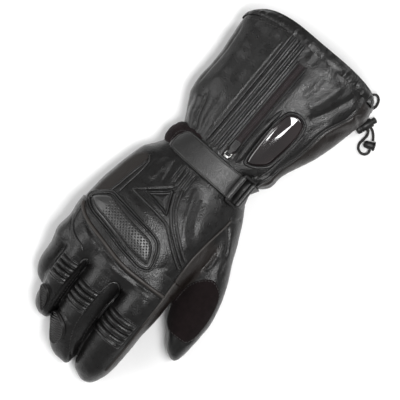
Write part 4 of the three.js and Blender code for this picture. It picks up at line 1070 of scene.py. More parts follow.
gloss = Look("window_gloss", rough=0.07, coat=1.0, coat_rough=0.03, specular=0.6)
cloudy = gloss.mapped(gloss.noise(45, 2), 0.35, 0.65, 0, 1)
gloss.colour(gloss.blend(cloudy, (0.007, 0.0045, 0.005), (0.014, 0.0085, 0.009)))
gloss.bump(gloss.noise(60, 1), 0.00006, 0.2)
gloss_look = gloss.material
coil_look = matt("zip_coil", (0.009, 0.0055, 0.006), (0.028, 0.018, 0.02), 0.4, 2600, 0.00002, 0, 0.5)

ground = Look("pale_ground", rough=0.95, specular=0.05)
ground.colour(ground.blend(ground.noise(6, 2), (0.9, 0.9, 0.9), (0.94, 0.94, 0.94)))

floor_mesh = bpy.data.meshes.new("floor")
FLOOR_HALF = 3
floor_corners = [(x * FLOOR_HALF, y * FLOOR_HALF, 0) for x, y in ((-1, -1), (1, -1), (1, 1), (-1, 1))]
floor_mesh.from_pydata(floor_corners, [], [(0, 1, 2, 3)])
floor = bpy.data.objects.new("floor", floor_mesh)
bpy.context.scene.collection.objects.link(floor)
floor_mesh.materials.append(ground.material)


# Fittings of the draw cord, then the cords

def centripetal(points, count):
    """The centripetal curve that the part uses, at evenly spread places."""
    p = np.asarray(points, float)
    p = np.vstack([2 * p[0] - p[1], p, 2 * p[-1] - p[-2]])
    run = []
    for a, b, c, d in zip(p, p[1:], p[2:], p[3:]):
        t0, t1 = 0.0, np.sqrt(np.linalg.norm(b - a))
        t2 = t1 + np.sqrt(np.linalg.norm(c - b))
        t3 = t2 + np.sqrt(np.linalg.norm(d - c))
        t = np.linspace(t1, t2, 16, endpoint=False)[:, None]
        ab = (t1 - t) / (t1 - t0) * a + (t - t0) / (t1 - t0) * b
        bc = (t2 - t) / (t2 - t1) * b + (t - t1) / (t2 - t1) * c
        cd = (t3 - t) / (t3 - t2) * c + (t - t2) / (t3 - t2) * d
        abc = (t2 - t) / (t2 - t0) * ab + (t - t0) / (t2 - t0) * bc
        bcd = (t3 - t) / (t3 - t1) * bc + (t - t1) / (t3 - t1) * cd
        run.append((t2 - t) / (t2 - t1) * abc + (t - t1) / (t2 - t1) * bcd)
    return respaced(np.vstack(run + [p[-2][None]]), count)


BRAID_TURN = 2.6


def swept(line, radius, sides, braid=0.0):
    """A tube along a line in space, whose frame turns as little as it can."""
    ahead = unit(np.gradient(line, axis=0))
    side = unit(np.cross(ahead[0], (0.3, 0.2, 1.0)))
    frames = []
    for t in ahead:
        side = unit(side - t * (side @ t))
        frames.append((side, np.cross(t, side)))
    frames = np.array(frames)
    twist = BRAID_TURN * run_lengths(line)[:, None]
    angle = np.linspace(0, 2 * pi, sides, endpoint=False)
    strand = np.sin(twist + 3 * angle[None]) * np.sin(twist - 3 * angle[None])
    r = radius + braid * strand
    points = (line[:, None] + (r * np.cos(angle))[..., None] * frames[:, None, 0]
              + (r * np.sin(angle))[..., None] * frames[:, None, 1])
    return points.reshape(-1, 3), tube_faces(len(line), sides)[:, ::-1]


CORD_OUTER = [
    (-69.4, -129.2, 13.9), (-69.6, -132.4, 13.5), (-70.8, -135.8, 11.4), (-73.6, -137.5, 7.8),
    (-76.8, -136.4, 4.4), (-79, -132.8, 2.1), (-79.1, -128.4, 1.3), (-77.2, -124.8, 1.4),
    (-74.4, -122.2, 2), (-72.9, -119.7, 3.2), (-74.1, -117.7, 4.1), (-77, -116.7, 4.3),
    (-80.6, -115.3, 4.3), (-84.2, -113.9, 4.3), (-87.8, -112.5, 4.3), (-91.2, -110.9, 4.1),
    (-94, -108.6, 3.8), (-96, -106.2, 4), (-97, -104.3, 4.4),
]
CORD_INNER = [
    (-66, -128.9, 10.5), (-66.2, -132, 10.1), (-67.8, -134.8, 8), (-70.9, -134.4, 5.6),
    (-72.8, -130.8, 4.6), (-72, -126, 4.6), (-69.7, -121.9, 4.6), (-68.9, -118.4, 4.5),
    (-70.9, -115.8, 4.4), (-74.6, -114.4, 4.3), (-78.8, -112.8, 4.3), (-83.1, -111.1, 4.3),
    (-86.6, -109.7, 4.3), (-89.2, -107.2, 3.8), (-90.1, -103.6, 2.8), (-89.6, -99.4, 1.9),
    (-89.5, -94.9, 1.4), (-91.6, -91.1, 1.3), (-95.8, -89.5, 1.5), (-99.5, -91, 2.2),
    (-100.8, -93.9, 3.3), (-100.1, -96.6, 4.4),
]
LOCK_HEAD = np.array([-79.6, -102, 4.3])
LOCK_AXIS = np.array([-0.36, -0.93, 0]) / np.hypot(0.36, 0.93)
CORD_END_MOUTH = np.array([-101.7, -101.7, 4.4])
CORD_END_AXIS = np.array([0.906, 0.42, 0]) / np.hypot(0.906, 0.42)
LOCK_LENGTH, LOCK_RADIUS, LOCK_WALL = 16, 4.3, 1.2
BUTTON_REACH, BUTTON_STEM = 4.2, 10.5


def lathe(name, start, axis, profile, sides, nodes, body="glove", ribs=0, rib_depth=0.0):
    """A turned plastic piece: (along, radius) rows round an axis, with optional ribs down its sides."""
    side = unit(np.cross(axis, (0, 0, 1.0)))
    up = np.cross(side, axis)
    angle = np.linspace(0, 2 * pi, sides, endpoint=False)
    profile = np.asarray(profile, float)
    r = profile[:, 1, None] * (1 - rib_depth * (0.5 + 0.5 * np.cos(ribs * angle))[None, :])
    points = (start + profile[:, 0, None, None] * axis + (r * np.cos(angle))[..., None] * side
              + (r * np.sin(angle))[..., None] * up).reshape(-1, 3)
    faces = tube_faces(len(profile), sides)
    from_middle = points[faces].mean(axis=1) - points.mean(axis=0)
    if (from_middle * quad_normals(points, faces)).sum() < 0:
        faces = faces[:, ::-1]
    return make(name, points, faces, plastic_look, "plastic", nodes, body)


open_end = LOCK_HEAD + LOCK_AXIS * LOCK_LENGTH
bore = LOCK_RADIUS - LOCK_WALL
lock = lathe("cord_lock_body", LOCK_HEAD, LOCK_AXIS, [
    (0, 2.6), (0.15, 3.4), (0.7, 4.05), (1.5, LOCK_RADIUS), (4.2, LOCK_RADIUS), (4.6, 3.95), (5.2, 3.95),
    (5.6, LOCK_RADIUS), (9.6, LOCK_RADIUS), (LOCK_LENGTH - 0.5, LOCK_RADIUS),
    (LOCK_LENGTH, LOCK_RADIUS - 0.35), (LOCK_LENGTH, bore), (LOCK_LENGTH - 1, bore), (LOCK_WALL, bore),
    (LOCK_WALL, 0.2),
], 32, ["cord_lock"])
button = lathe("cord_lock_press", open_end, LOCK_AXIS, [
    (-BUTTON_STEM, 0.4), (-BUTTON_STEM, bore - 0.5), (-BUTTON_STEM + 0.4, bore - 0.3),
    (BUTTON_REACH - 0.7, bore - 0.3), (BUTTON_REACH - 0.2, bore - 0.75), (BUTTON_REACH, bore - 1.4),
    (BUTTON_REACH - 0.15, 0.3),
], 28, ["cord_lock_button"], body="cord_lock_button")
cord_tip = lathe("cord_end_cap", CORD_END_MOUTH, CORD_END_AXIS, [
    (0, 1.2), (0, 3.9), (0.25, 4.3), (0.8, 4.4), (1.4, 4.15), (1.7, 3.7), (3, 3.6), (6.3, 3.6), (8.6, 3.3),
    (9.7, 2.8), (10.3, 2.0), (10.5, 0.8),
], 36, ["cord_end"], ribs=12, rib_depth=0.07)

for cord_name, route, node, friends in (
        ("hem_cord_outer", CORD_OUTER, "drawcord_outer", [lock, button]),
        ("hem_cord_inner", CORD_INNER, "drawcord_inner", [cord_tip])):
    line = centripetal(route, 220)
    cord_points, cord_faces = swept(line, CORD_DIAMETER / 2 - 0.06, 16, 0.09)
    cord = make(cord_name, cord_points, cord_faces, cord_look, "cord", [node])


# The leather itself

def strip_share(points, normals):
    """1 on the smooth strip along the index side, 0 elsewhere."""
    edge = np.array([(-45.5, 226), (-45.5, 180), (-44.5, 150), (-44, 130), (-42, 100), (-40.5, 80),
                     (-42, 60), (-45, 40), (-47, 20)])
    x = np.interp(points[:, 1], edge[::-1, 1], edge[::-1, 0])
    left = ease((x - points[:, 0]) / 1.2)
    thumb = ease((points[:, 0] + 56) / 1.5) * ease((points[:, 1] - 52) / 10)
    return left * np.maximum(thumb, ease((points[:, 1] - 118) / 3) * ease((points[:, 0] + 54) / 1.5))


hand_tone = strip_share(hand_points, normals)
make("hand_leather", hand_points, hand_faces, leather_look, "leather",
     ["palm_shell", "thumb", "index_finger", "middle_finger", "ring_finger", "little_finger"], tone=hand_tone)

panel_x = np.interp(cuff_points[:, 1], PANEL_SEAM[::-1, 1], PANEL_SEAM[::-1, 0])
cuff_tone = 0.9 * ease((panel_x - cuff_points[:, 0]) / 0.8) * ease((cuff_points[:, 1] + 124) / 6)
make("cuff_leather", cuff_points, cuff_faces, leather_look, "leather", ["gauntlet"], tone=cuff_tone)

# Hem: a gathered casing that turns in round the cuff's end
HEM_ROUND = 460
INNER_GROWTH = -2.6
hem_turns = np.linspace(0, 2 * pi, HEM_ROUND, endpoint=False)
outer_face = [(HEM_START - 0.006 + (1 - HEM_START) * 0.97 * t,
               0.2 + 1.3 * sin(pi * min(1, 0.12 + t * 0.8)) ** 0.7)
              for t in np.linspace(0, 1, 16)]
end_face = [(0.9985 + 0.006 * sin(pi * t), 0.9 * cos(pi * t / 2) + INNER_GROWTH * (1 - cos(pi * t / 2)))
            for t in np.linspace(0.12, 1, 9)]
inner_face = [(1 - 0.09 * t, INNER_GROWTH) for t in np.linspace(0.15, 1, 6)]
# along, growth
profile = np.array(outer_face + end_face + inner_face)
hem_grid = np.stack([cuff_point(a, hem_turns, g) for a, g in profile])
hem_normal = tube_normals(np.stack([cuff_point(a, hem_turns, 0) for a in profile[:, 0]]))
flat = hem_grid.reshape(-1, 3)
shape = (len(profile), HEM_ROUND)
out_share = np.clip(1 - np.arange(len(profile)) / 24, 0, 1)[:, None]
ridge = lumps(flat[:, 0], flat[:, 1] * 0.12, flat[:, 2], 3.4, 31).reshape(shape)
ripple = lumps(flat[:, 0], flat[:, 1] * 0.25, flat[:, 2], 1.9, 33).reshape(shape)
thumb_side = (0.7 + 0.8 * ease((-flat[:, 0] - 12) / 40)).reshape(shape)
lifted = ease((flat[:, 2] - 0.6) / 5).reshape(shape)
moved = (1.3 * ridge + 0.5 * ripple) * thumb_side * np.maximum(out_share, 0.15) * lifted
hem_grid = hem_grid + hem_normal * moved[..., None]
hem_grid = nudged(hem_grid, CUFF_NUDGES)
hem_grid[..., 2] = np.maximum(hem_grid[..., 2], 0.02)
make("hem_casing", hem_grid.reshape(-1, 3), grid_faces(*shape, wrap=True), leather_look, "leather",
     ["hem_binding"], tone=np.zeros(flat.shape[0]))

# Inner face of the walls, seen through the opening
INNER_ROUND = 96
inner_turns = np.linspace(0, 2 * pi, INNER_ROUND, endpoint=False)
cuff_inside = [cuff_point(along, inner_turns, INNER_GROWTH) for along in np.linspace(0.94, 0.0, 60)]
palm_tables = [smooth_table(palm_rows[:, 0], palm_rows[:, k]) for k in (1, 2, 3, 4)]
palm_left, palm_right, palm_bottom, palm_top = palm_tables
palm_inside = []
for y in np.linspace(8, 136, 50):
    close = 3.2 + 16 * ease((y - 112) / 24) ** 2
    x, z = rounded(palm_left(y), palm_right(y), palm_bottom(y), palm_top(y), inner_turns, -close)
    palm_inside.append(np.stack([x, np.full_like(x, y), np.maximum(z, -INNER_GROWTH)], axis=-1))
inner_grid = nudged(np.array(cuff_inside + palm_inside), CUFF_NUDGES)
inner_noise = lumps(*inner_grid.reshape(-1, 3).T, 9, 41).reshape(inner_grid.shape[:2])
inner_grid = inner_grid + 0.35 * inner_noise[..., None] * np.array([0.7, 0, 0.3])
i = np.arange(INNER_ROUND // 2 - 1)
cap = np.stack([i, i + 1, INNER_ROUND - 2 - i, INNER_ROUND - 1 - i], axis=1)
cap = cap + (len(inner_grid) - 1) * INNER_ROUND
inner_faces = np.vstack([grid_faces(*inner_grid.shape[:2], wrap=True), cap])
make("inner_wall", inner_grid.reshape(-1, 3), inner_faces, inner_look, "leather")

# Back of the hand
KNUCKLE_SEAM = [(-43.5, 120.4), (-30, 121), (-10, 121.6), (0, 121.5), (10, 120.4), (20, 118.4), (30, 116),
                (40, 114), (50, 111.4), (57, 108.6), (62, 104.8), (64.6, 100)]
seam_line = smooth_line(KNUCKLE_SEAM, 120)
band("knuckle_piping", seam_line, round_profile(3.6, 2.0), smooth_look, "smooth_leather", ["knuckle_welt"])
stitches(seam_line + np.array([0, 3.6]), "hand")
stitches(seam_line + np.array([0, -2.6]), "hand")

EDGE_SEAM = [(-45.6, 205), (-45.6, 180), (-44.7, 150), (-44, 130), (-42.6, 110), (-41.4, 95), (-40.6, 80),
             (-41.4, 66), (-43, 52), (-44.6, 40), (-45, 31)]
band("edge_piping", smooth_line(EDGE_SEAM, 240), round_profile(1.9, 1.1), smooth_look, "smooth_leather",
     ["edge_piping"])

PAD = [(-14, 108), (-10, 109.4), (0, 109), (10, 107.8), (20, 105.4), (30, 103.6), (40, 101.6), (52, 99.6),
       (60, 95.5), (61, 91), (56, 85.6), (49, 81), (40, 82), (30, 84.4), (20, 86), (10, 87), (0, 88),
       (-6, 90.6), (-10, 95), (-13, 101)]
pad_outline = smooth_line(PAD, 260, closed=True)
pad_grid = outline_grid(pad_outline, 252, 94, turn=-8)
from_edge = edge_distance(pad_grid, pad_outline)
HOLE_PITCH, HOLE_RADIUS, HOLE_SLANT = 3.6, 0.52, 0.14
rows_at = pad_grid[..., 1] + HOLE_SLANT * pad_grid[..., 0]
cols_at = pad_grid[..., 0] - HOLE_SLANT * pad_grid[..., 1]
u, v = cols_at / HOLE_PITCH, rows_at / (HOLE_PITCH / 2)
row = np.round(v)
shifted = u - 0.5 * (row % 2)
hole = np.hypot((shifted - np.round(shifted)) * HOLE_PITCH, (v - row) * HOLE_PITCH / 2)
# punched marks the holes: it sinks them a little and, as the pad's tone, paints them with the near-black
# painted shade
punched = (1 - ease((hole - HOLE_RADIUS * 0.85) / (HOLE_RADIUS * 0.35))) * ease((from_edge - 1.6) / 0.5)
punched = punched * ease((46 - pad_grid[..., 0]) / 3)
puff = 3.4 * ease(from_edge / 4.5) ** 0.8 + 0.9 * ease(from_edge / 12)
pad_lift = puff - 1.1 * punched - 0.5 * bell(from_edge - 1.3, 0.5)
pad = slab("knuckle_pad", pad_grid, pad_lift, pad_look, "leather", ["knuckle_pad"], tone=punched)

RIM = [(-16.6, 110.6), (-12, 113), (-7, 113.6), (0, 112.6), (12, 110.9), (25, 107.9), (40, 104.9),
       (54, 102.4), (62.6, 97.6), (63.4, 91.4), (57, 84.4), (49.4, 78.8), (40, 79.6), (30, 80.6), (20, 82),
       (10, 83.2), (0, 84.6), (-8, 87.4), (-13, 93), (-16, 101), (-17.6, 107)]
rim_line = smooth_line(RIM, 240, closed=True)
DOUBLE_ROLL = [(-2.1, -0.6), (-2.1, 0.35), (-1.6, 1.15), (-1.0, 1.35), (-0.35, 0.9), (0, 0.35), (0.01, 0.35),
               (0.35, 0.9), (1.0, 1.35), (1.6, 1.15), (2.1, 0.35), (2.1, -0.6)]
band("pad_rim", rim_line, DOUBLE_ROLL, leather_look, "leather", ["knuckle_pad_rim"], closed=True)
for grow in (1.06, 0.945):
    stitches(scaled(rim_line, np.array([1 + (grow - 1) * 0.55, grow])), "hand", closed=True)

BACK_RIDGES = [
    [(-38.5, 94.5), (-30, 89.4), (-20, 82.6), (-10, 74.6), (-4, 70.6), (2, 69.2), (12, 67.9), (26, 66.6),
     (39, 65.4)],
    [(-38.5, 90), (-30, 84.8), (-20, 78), (-10, 70.4), (-4, 64.4), (1, 58.6), (5, 51), (8.6, 43.6)],
    [(-38.5, 85.6), (-30, 80.6), (-20, 73), (-10, 64.6), (-3.6, 57.6), (0, 51), (2.8, 44), (4.4, 38)],
]
RIDGE_PROFILE = round_profile(3.0, 1.5)
SEAM_OFFSET = 1.75
for number, line in enumerate(BACK_RIDGES, 1):
    run = smooth_line(line, 160)
    band(f"back_ridge_{number}", run, RIDGE_PROFILE, leather_look, "leather", [f"back_ridge_{number}"])
    for side in (-SEAM_OFFSET, SEAM_OFFSET):
        stitches(run + side * left_of(np.gradient(run, axis=0)), "hand", radius=0.22)

TRIANGLE = [(0.6, 64.6), (10, 63.6), (20, 62.3), (30.6, 60.8), (25, 55.6), (18, 49.6), (10.4, 43.8),
            (5.6, 53)]
tri_outline = smooth_line(TRIANGLE, 160, closed=True)
tri_grid = outline_grid(tri_outline, 90, 60)
from_edge = edge_distance(tri_grid, tri_outline)
tri_lift = 0.15 + 1.6 * bell(from_edge - 1.6, 1.1) + ease((from_edge - 3.2) / 3)
tri = slab("back_triangle", tri_grid, tri_lift, leather_look, "leather", ["back_triangle"])
outer_ridges = [([(39, 66), (30, 57.4), (20, 48), (12.6, 40.6)], 60, 2.4, 1.3, 2),
                ([(34.6, 62.4), (26, 54.6), (16, 45.4), (11, 40)], 60, 2.4, 1.3, 2)]
pleats = [([(x - 0.6, top), (x, 30), (x + 0.3, 20.5)], 40, 2.6, 1.1, 6)
          for x, top in ((3.2, 39), (7.2, 41), (11.2, 40), (15.2, 38), (19, 37))]
rolls("back_pleats", outer_ridges + pleats)

SIDE = [(53.4, 79), (57, 82.6), (61, 87.4), (63.4, 89), (63.6, 80), (61.6, 66), (59.4, 52), (56.6, 41),
        (53, 35.4), (49.6, 33.6), (46.6, 35), (45.8, 39), (46.6, 46), (49.4, 58), (51.6, 70)]
side_outline = smooth_line(SIDE, 200, closed=True)
side_grid = outline_grid(side_outline, 110, 44, turn=80)
from_edge = edge_distance(side_grid, side_outline)
slab("side_cloth", side_grid, 0.35 + 0.75 * ease(from_edge / 2.2), panel_look, "panel", ["side_panel"])
SIDE_SEAMS = [[(46.2, 76), (45.6, 68), (44.2, 58), (43, 48), (43.4, 38), (46.4, 32.6)],
              [(52.6, 79.6), (50.6, 70), (48.6, 58), (46, 46), (44.6, 38)]]
rolls("side_welts", [(line, 80, 2.0, 1.2, 2) for line in SIDE_SEAMS])
for line in SIDE_SEAMS:
    stitches(smooth_line(line, 80) + np.array([1.5, 0]), "hand")
SIDE_THREAD = [(53, 78.6), (51, 68), (49, 56), (46.4, 44)]
stitches(smooth_line(SIDE_THREAD, 60), "side", pitch=1.8, length=1.5, radius=0.3, lift=1.1)

PATCH = [(-86.6, 134), (-83.4, 140), (-76, 141.4), (-64, 140.6), (-57, 133), (-52.4, 122), (-51, 112),
         (-52.4, 100), (-57.4, 90), (-62.4, 84.4), (-68.4, 82), (-77.6, 86.4), (-83, 95.4), (-86.6, 110),
         (-87.6, 124)]
patch_outline = smooth_line(PATCH, 220, closed=True)
patch_grid = outline_grid(patch_outline, 100, 60, turn=90)
from_edge = edge_distance(patch_grid, patch_outline)
slab("thumb_suede", patch_grid, 0.2 + 0.8 * ease(from_edge / 1.2), suede_look, "suede", ["thumb_patch"])
stitches(scaled(patch_outline, 0.955), "hand", closed=True, lift=1.05)

# Raised rims round the roots of the gaps between the fingers
rolls("finger_root_rims", [
    ([(2.6, 155), (1.6, 146), (0.6, 139.6), (-2.9, 136.6), (-7.1, 137.6), (-9.8, 142.7), (-10.7, 149.4),
      (-10.2, 160), (-10.6, 172)], 90, 1.7, 1.5, 4),
    ([(32.4, 146), (31.6, 139.6), (29.2, 137.6), (26.9, 140.6), (26.1, 148), (26.2, 157)], 90, 1.7, 1.5, 4),
    ([(63.6, 103), (61.8, 117), (55.4, 125.6), (49, 129), (42, 131), (35.6, 134.6)], 90, 2.0, 1.3, 3),
])

# Ribbed panels over the finger joints: left, right, peaks, bow, end
RIBS = {
    "index": (-41.2, -12.6, [157.8, 163.4, 169.2, 175.2], 1.6, 182),
    "middle": (1.6, 22.4, [156.2, 161.6, 166.8, 171.8], 1.2, 177.6),
    "ring": (31.6, 47.8, [149, 154.4, 159.8, 165], 0.9, 169.6),
}
RIB_COLUMNS, RIB_GRID = 60, 0.35
RIB_HEIGHT, RIB_HALF, LAST_RIB_HEIGHT = 2.9, 2.35, 1.5
for rib_name, (left, right, peaks, bow, end) in RIBS.items():
    start = peaks[0] - 4
    u = np.linspace(-1, 1, RIB_COLUMNS)
    v = np.linspace(start, end, int((end - start) / RIB_GRID))
    grid = np.stack(np.meshgrid(u, v, indexing="ij"), axis=-1)
    crown = bow * (1 - grid[..., 0] ** 2)
    across = (left + right) / 2 + grid[..., 0] * (right - left) / 2
    plan = np.stack([across, grid[..., 1] + crown - bow * 0.6], axis=-1)
    lift = np.zeros(grid.shape[:2])
    extra = peaks[-1] + (peaks[-1] - peaks[-2])
    for peak, high in [(p, RIB_HEIGHT) for p in peaks] + [(extra, LAST_RIB_HEIGHT)]:
        off = (grid[..., 1] - peak) / RIB_HALF
        lift = np.maximum(lift, high * np.sqrt(np.clip(1 - off**2, 0, 1)))
    side_fade = np.sqrt(np.clip((1 - np.abs(grid[..., 0])) / 0.16, 0, 1))
    end_fade = ease((grid[..., 1] - start) / 1.5) * ease((end - grid[..., 1]) / 1.5)
    lift = 0.35 + (lift - 0.1) * side_fade * (0.3 + 0.7 * end_fade)
    ribs = slab(f"{rib_name}_ribs", plan, lift, leather_look, "leather", [f"{rib_name}_ribs"])

# Ribbed slider pads: outline, slant of the grooves in degrees
SLIDERS = {
    "middle": ([(2.2, 204), (1.6, 210), (3.6, 214), (8, 214.6), (12, 210.6), (16, 205), (20, 200.4),
                (22.6, 197), (22.8, 192.4), (18.4, 190.4), (12.4, 192.2), (7.4, 195), (4, 199)], 114),
    "ring": ([(31.6, 199.4), (35, 197), (39.4, 191.4), (43.6, 185.6), (45.4, 181.4), (44.4, 178.8),
              (41, 179.6), (36.4, 182.6), (33.4, 187), (31.6, 193)], 100),
}
GROOVE_PITCH, GROOVE_DEPTH = 2.0, 0.95
for slider_name, (outline, slant) in SLIDERS.items():
    slider_outline = smooth_line(outline, 160, closed=True)
    plan = outline_grid(slider_outline, 96, 56, turn=-50)
    from_edge = edge_distance(plan, slider_outline)
    across = plan[..., 0] * cos(radians(slant)) + plan[..., 1] * sin(radians(slant))
    groove = 0.5 + 0.5 * np.cos(across * 2 * pi / GROOVE_PITCH)
    lift = 1.3 + 1.3 * ease(from_edge / 1.6) - GROOVE_DEPTH * groove * ease((from_edge - 1.6) / 0.6)
    lift = lift + 0.7 * bell(from_edge - 1.1, 0.45)
    slab(f"{slider_name}_slider", plan, lift, slider_look, "slider", [f"{slider_name}_slider"])

FINGER_THREADS = [
    [(1, 141), (1.4, 155), (1, 170), (-0.5, 188), (-6, 203), (-14, 214)],
    [(26.5, 150), (26, 165), (25.4, 180), (24.4, 190)],
    [(51.4, 141), (50.8, 155), (50.4, 165), (48.6, 173)],
    [(-10, 156), (-10.4, 175), (-11.4, 186), (-14, 198)],
]
for line in FINGER_THREADS:
    stitches(smooth_line(line, 80) + np.array([1.4, 0]), "hand", radius=0.2)
LITTLE_THREAD = [(50, 134), (56, 128.5), (61, 122.5), (65, 115)]
stitches(smooth_line(LITTLE_THREAD, 50) + np.array([-1.2, -1.2]), "hand")


# Strap, its ring and anchor

STRAP_MIDDLE_Y, STRAP_WIDTH = 7.2, 24.5
STRAP_BACK, STRAP_FRONT = STRAP_MIDDLE_Y - STRAP_WIDTH / 2, STRAP_MIDDLE_Y + STRAP_WIDTH / 2

# Across the strap at each place along it: x, back edge, front edge
STRAP_EDGES = np.array([
    (-30.5, STRAP_BACK + 0.4, STRAP_FRONT - 0.2), (-24, STRAP_BACK + 0.2, STRAP_FRONT),
    (0, STRAP_BACK, STRAP_FRONT - 0.2), (20, STRAP_BACK - 0.6, STRAP_FRONT - 1),
    (30, STRAP_BACK - 0.9, STRAP_FRONT - 1.9), (34, STRAP_BACK + 0.4, STRAP_FRONT - 2.4),
    (37, STRAP_BACK + 3, STRAP_FRONT - 3), (39, STRAP_BACK + 6.6, STRAP_FRONT - 4),
    (40, STRAP_BACK + 10, STRAP_FRONT - 6.4),
])
STRAP_COLUMNS = 60
strap_x = np.concatenate([np.linspace(-30.5, 34, 110), np.linspace(34, 40, 26)[1:]])
strap_low = smooth_table(STRAP_EDGES[:, 0], STRAP_EDGES[:, 1])(strap_x)
strap_high = smooth_table(STRAP_EDGES[:, 0], STRAP_EDGES[:, 2])(strap_x)
share = (1 - np.cos(np.linspace(0, pi, STRAP_COLUMNS))) / 2
strap_plan = np.stack([np.repeat(strap_x[:, None], STRAP_COLUMNS, axis=1),
                       strap_low[:, None] + (strap_high - strap_low)[:, None] * share], axis=-1)
strap_outline = np.vstack([strap_plan[:, 0], strap_plan[-1], strap_plan[::-1, -1], strap_plan[0, ::-1]])
from_edge = edge_distance(strap_plan, strap_outline)
plan_x, plan_y = strap_plan[..., 0], strap_plan[..., 1]
strap_lift = (2.4 + 0.25 * lumps(plan_x, plan_y, np.zeros_like(plan_x), 16, 51)
              + 1.5 * ease(from_edge / 0.9) - 0.35 * bell(from_edge - 1.9, 0.4)
              + 0.25 * ease(from_edge / 8) + 0.8 * ease((-18 - plan_x) / 10))
lower = on_skin(strap_plan, np.full(strap_lift.shape, 0.6))[0]
level = even_height(strap_plan, lower[..., 2], 4, 2) + strap_lift - 0.2
upper = np.concatenate([strap_plan, np.maximum(level, lower[..., 2] + 0.5)[..., None]], axis=-1)

WIRE = 1.3
FOLD_RADIUS, FOLD_SIDES, FOLD_ROWS = 2.8, 28, 40
ring_low, ring_high = part_box("strap_ring")
fold_end = np.array([ring_high[0] - WIRE, 0, ring_high[2] - WIRE])
anchor_end = np.array([ring_low[0] + WIRE, 0, ring_low[2] + WIRE])
ring_back, ring_front = ring_low[1] + WIRE, ring_high[1] - WIRE


def fold(bar, low, high):
    """A strap's fold round a bar along Y, drawn in at its edges, as points and faces."""
    spots = np.linspace(low, high, FOLD_ROWS)
    angle = np.linspace(0, 2 * pi, FOLD_SIDES, endpoint=False)
    edge = np.minimum(spots - low, high - spots)
    r = FOLD_RADIUS - 0.45 * (1 - ease(edge / 0.8))
    points = np.stack([bar[0] + r[:, None] * np.cos(angle), np.repeat(spots[:, None], FOLD_SIDES, axis=1),
                       bar[2] + r[:, None] * np.sin(angle)], axis=-1)
    return points.reshape(-1, 3), tube_faces(FOLD_ROWS, FOLD_SIDES)[:, ::-1]


strap_parts = [closed_sheet(upper, lower), fold(fold_end, STRAP_BACK + 0.4, STRAP_FRONT - 0.2)]
make("wrist_strap", *merged(strap_parts), strap_look, "strap", ["wrist_strap"])
inset = scaled(strap_outline, np.array([0.945, 0.875]))
stitches(smooth_line(inset, 400, closed=True), "strap", pitch=2.2, length=1.6, radius=0.2, lift=4.15,
         closed=True)

# Ring: a rounded frame of wire, both its bars in the straps' folds
RING_CORNER, RING_ROWS, RING_SIDES = 1.6, 120, 16
ring_corners = np.array([(end[0], y, end[2]) for end, y in (
    (fold_end, ring_back), (fold_end, ring_front), (anchor_end, ring_front), (anchor_end, ring_back))])
loop = []
for k in range(4):
    here, before, behind = ring_corners[k], ring_corners[k - 1], ring_corners[(k + 1) % 4]
    a = here + unit(before - here) * RING_CORNER
    b = here + unit(behind - here) * RING_CORNER
    for t in np.linspace(0, 1, 6):
        loop.append((1 - t) ** 2 * a + 2 * t * (1 - t) * here + t**2 * b)
loop = respaced(np.array(loop + loop[:1]), RING_ROWS, endpoint=False)
ahead = unit(np.roll(loop, -1, axis=0) - np.roll(loop, 1, axis=0))
ring_normal = unit(np.cross(ring_corners[1] - ring_corners[0], ring_corners[2] - ring_corners[1]))
side = np.cross(ahead, ring_normal)
angle = np.linspace(0, 2 * pi, RING_SIDES, endpoint=False)
points = (loop[:, None] + WIRE * np.cos(angle)[None, :, None] * side[:, None]
          + WIRE * np.sin(angle)[None, :, None] * ring_normal[None, None])
make("strap_ring", points.reshape(-1, 3), tube_faces(RING_ROWS, RING_SIDES, closed=True),
     plastic_look, "plastic", ["strap_ring"])


def wrist_section(y):
    """Left, right and top of the hand or the cuff at places along the wrist."""
    along = np.clip((WRIST_SEAM_Y - y) / (CUFF_LENGTH - HEM_BOW), 0, 1)
    return [np.where(y > WRIST_SEAM_Y, palm(y), cuff(along))
            for palm, cuff in ((palm_left, cuff_left), (palm_right, cuff_right), (palm_top, cuff_top))]


# Anchor: a tab from the ring's outer bar down the thumb side of the wrist
tab_y = np.linspace(STRAP_BACK + 0.3, STRAP_FRONT - 0.3, 36)
tab_z = np.linspace(anchor_end[2] + 0.5, 8.3, 44)
yy, zz = np.meshgrid(tab_y, tab_z)
left, right, top = wrist_section(yy)
waist = top * WAIST
reach = np.where(zz > waist, top - waist, waist + SOLE_SINK)
level = np.clip(np.abs(zz - waist) / reach, 0, 1) ** (1 / BACK_POWER)
wrist_side = (left + right) / 2 - (right - left) / 2 * np.sqrt(np.clip(1 - level * level, 0, 1)) ** SIDE_POWER
edge = np.minimum(yy - tab_y[0], tab_y[-1] - yy)
thick = 0.5 + 1.4 * ease(edge / 1.0) - 0.3 * bell(edge - 2.0, 0.4)
bulge = lumps(yy, zz, np.zeros_like(yy), 7, 61) * 0.3
outer = np.stack([np.minimum(wrist_side - thick - 0.3 - bulge, anchor_end[0] - 0.6), yy, zz], axis=-1)
inner = np.stack([wrist_side + 0.4, yy, zz], axis=-1)
tab = (np.vstack([outer.reshape(-1, 3), inner.reshape(-1, 3)]), sheet_faces(*yy.shape)[0])
anchor_parts = [fold(anchor_end, STRAP_BACK + 0.3, STRAP_FRONT - 0.3), tab]
make("strap_anchor", *merged(anchor_parts), strap_look, "strap", ["strap_anchor"])

# Pile-faced run that goes round the little-finger side
PILE_START, PILE_END = radians(62), radians(-32)
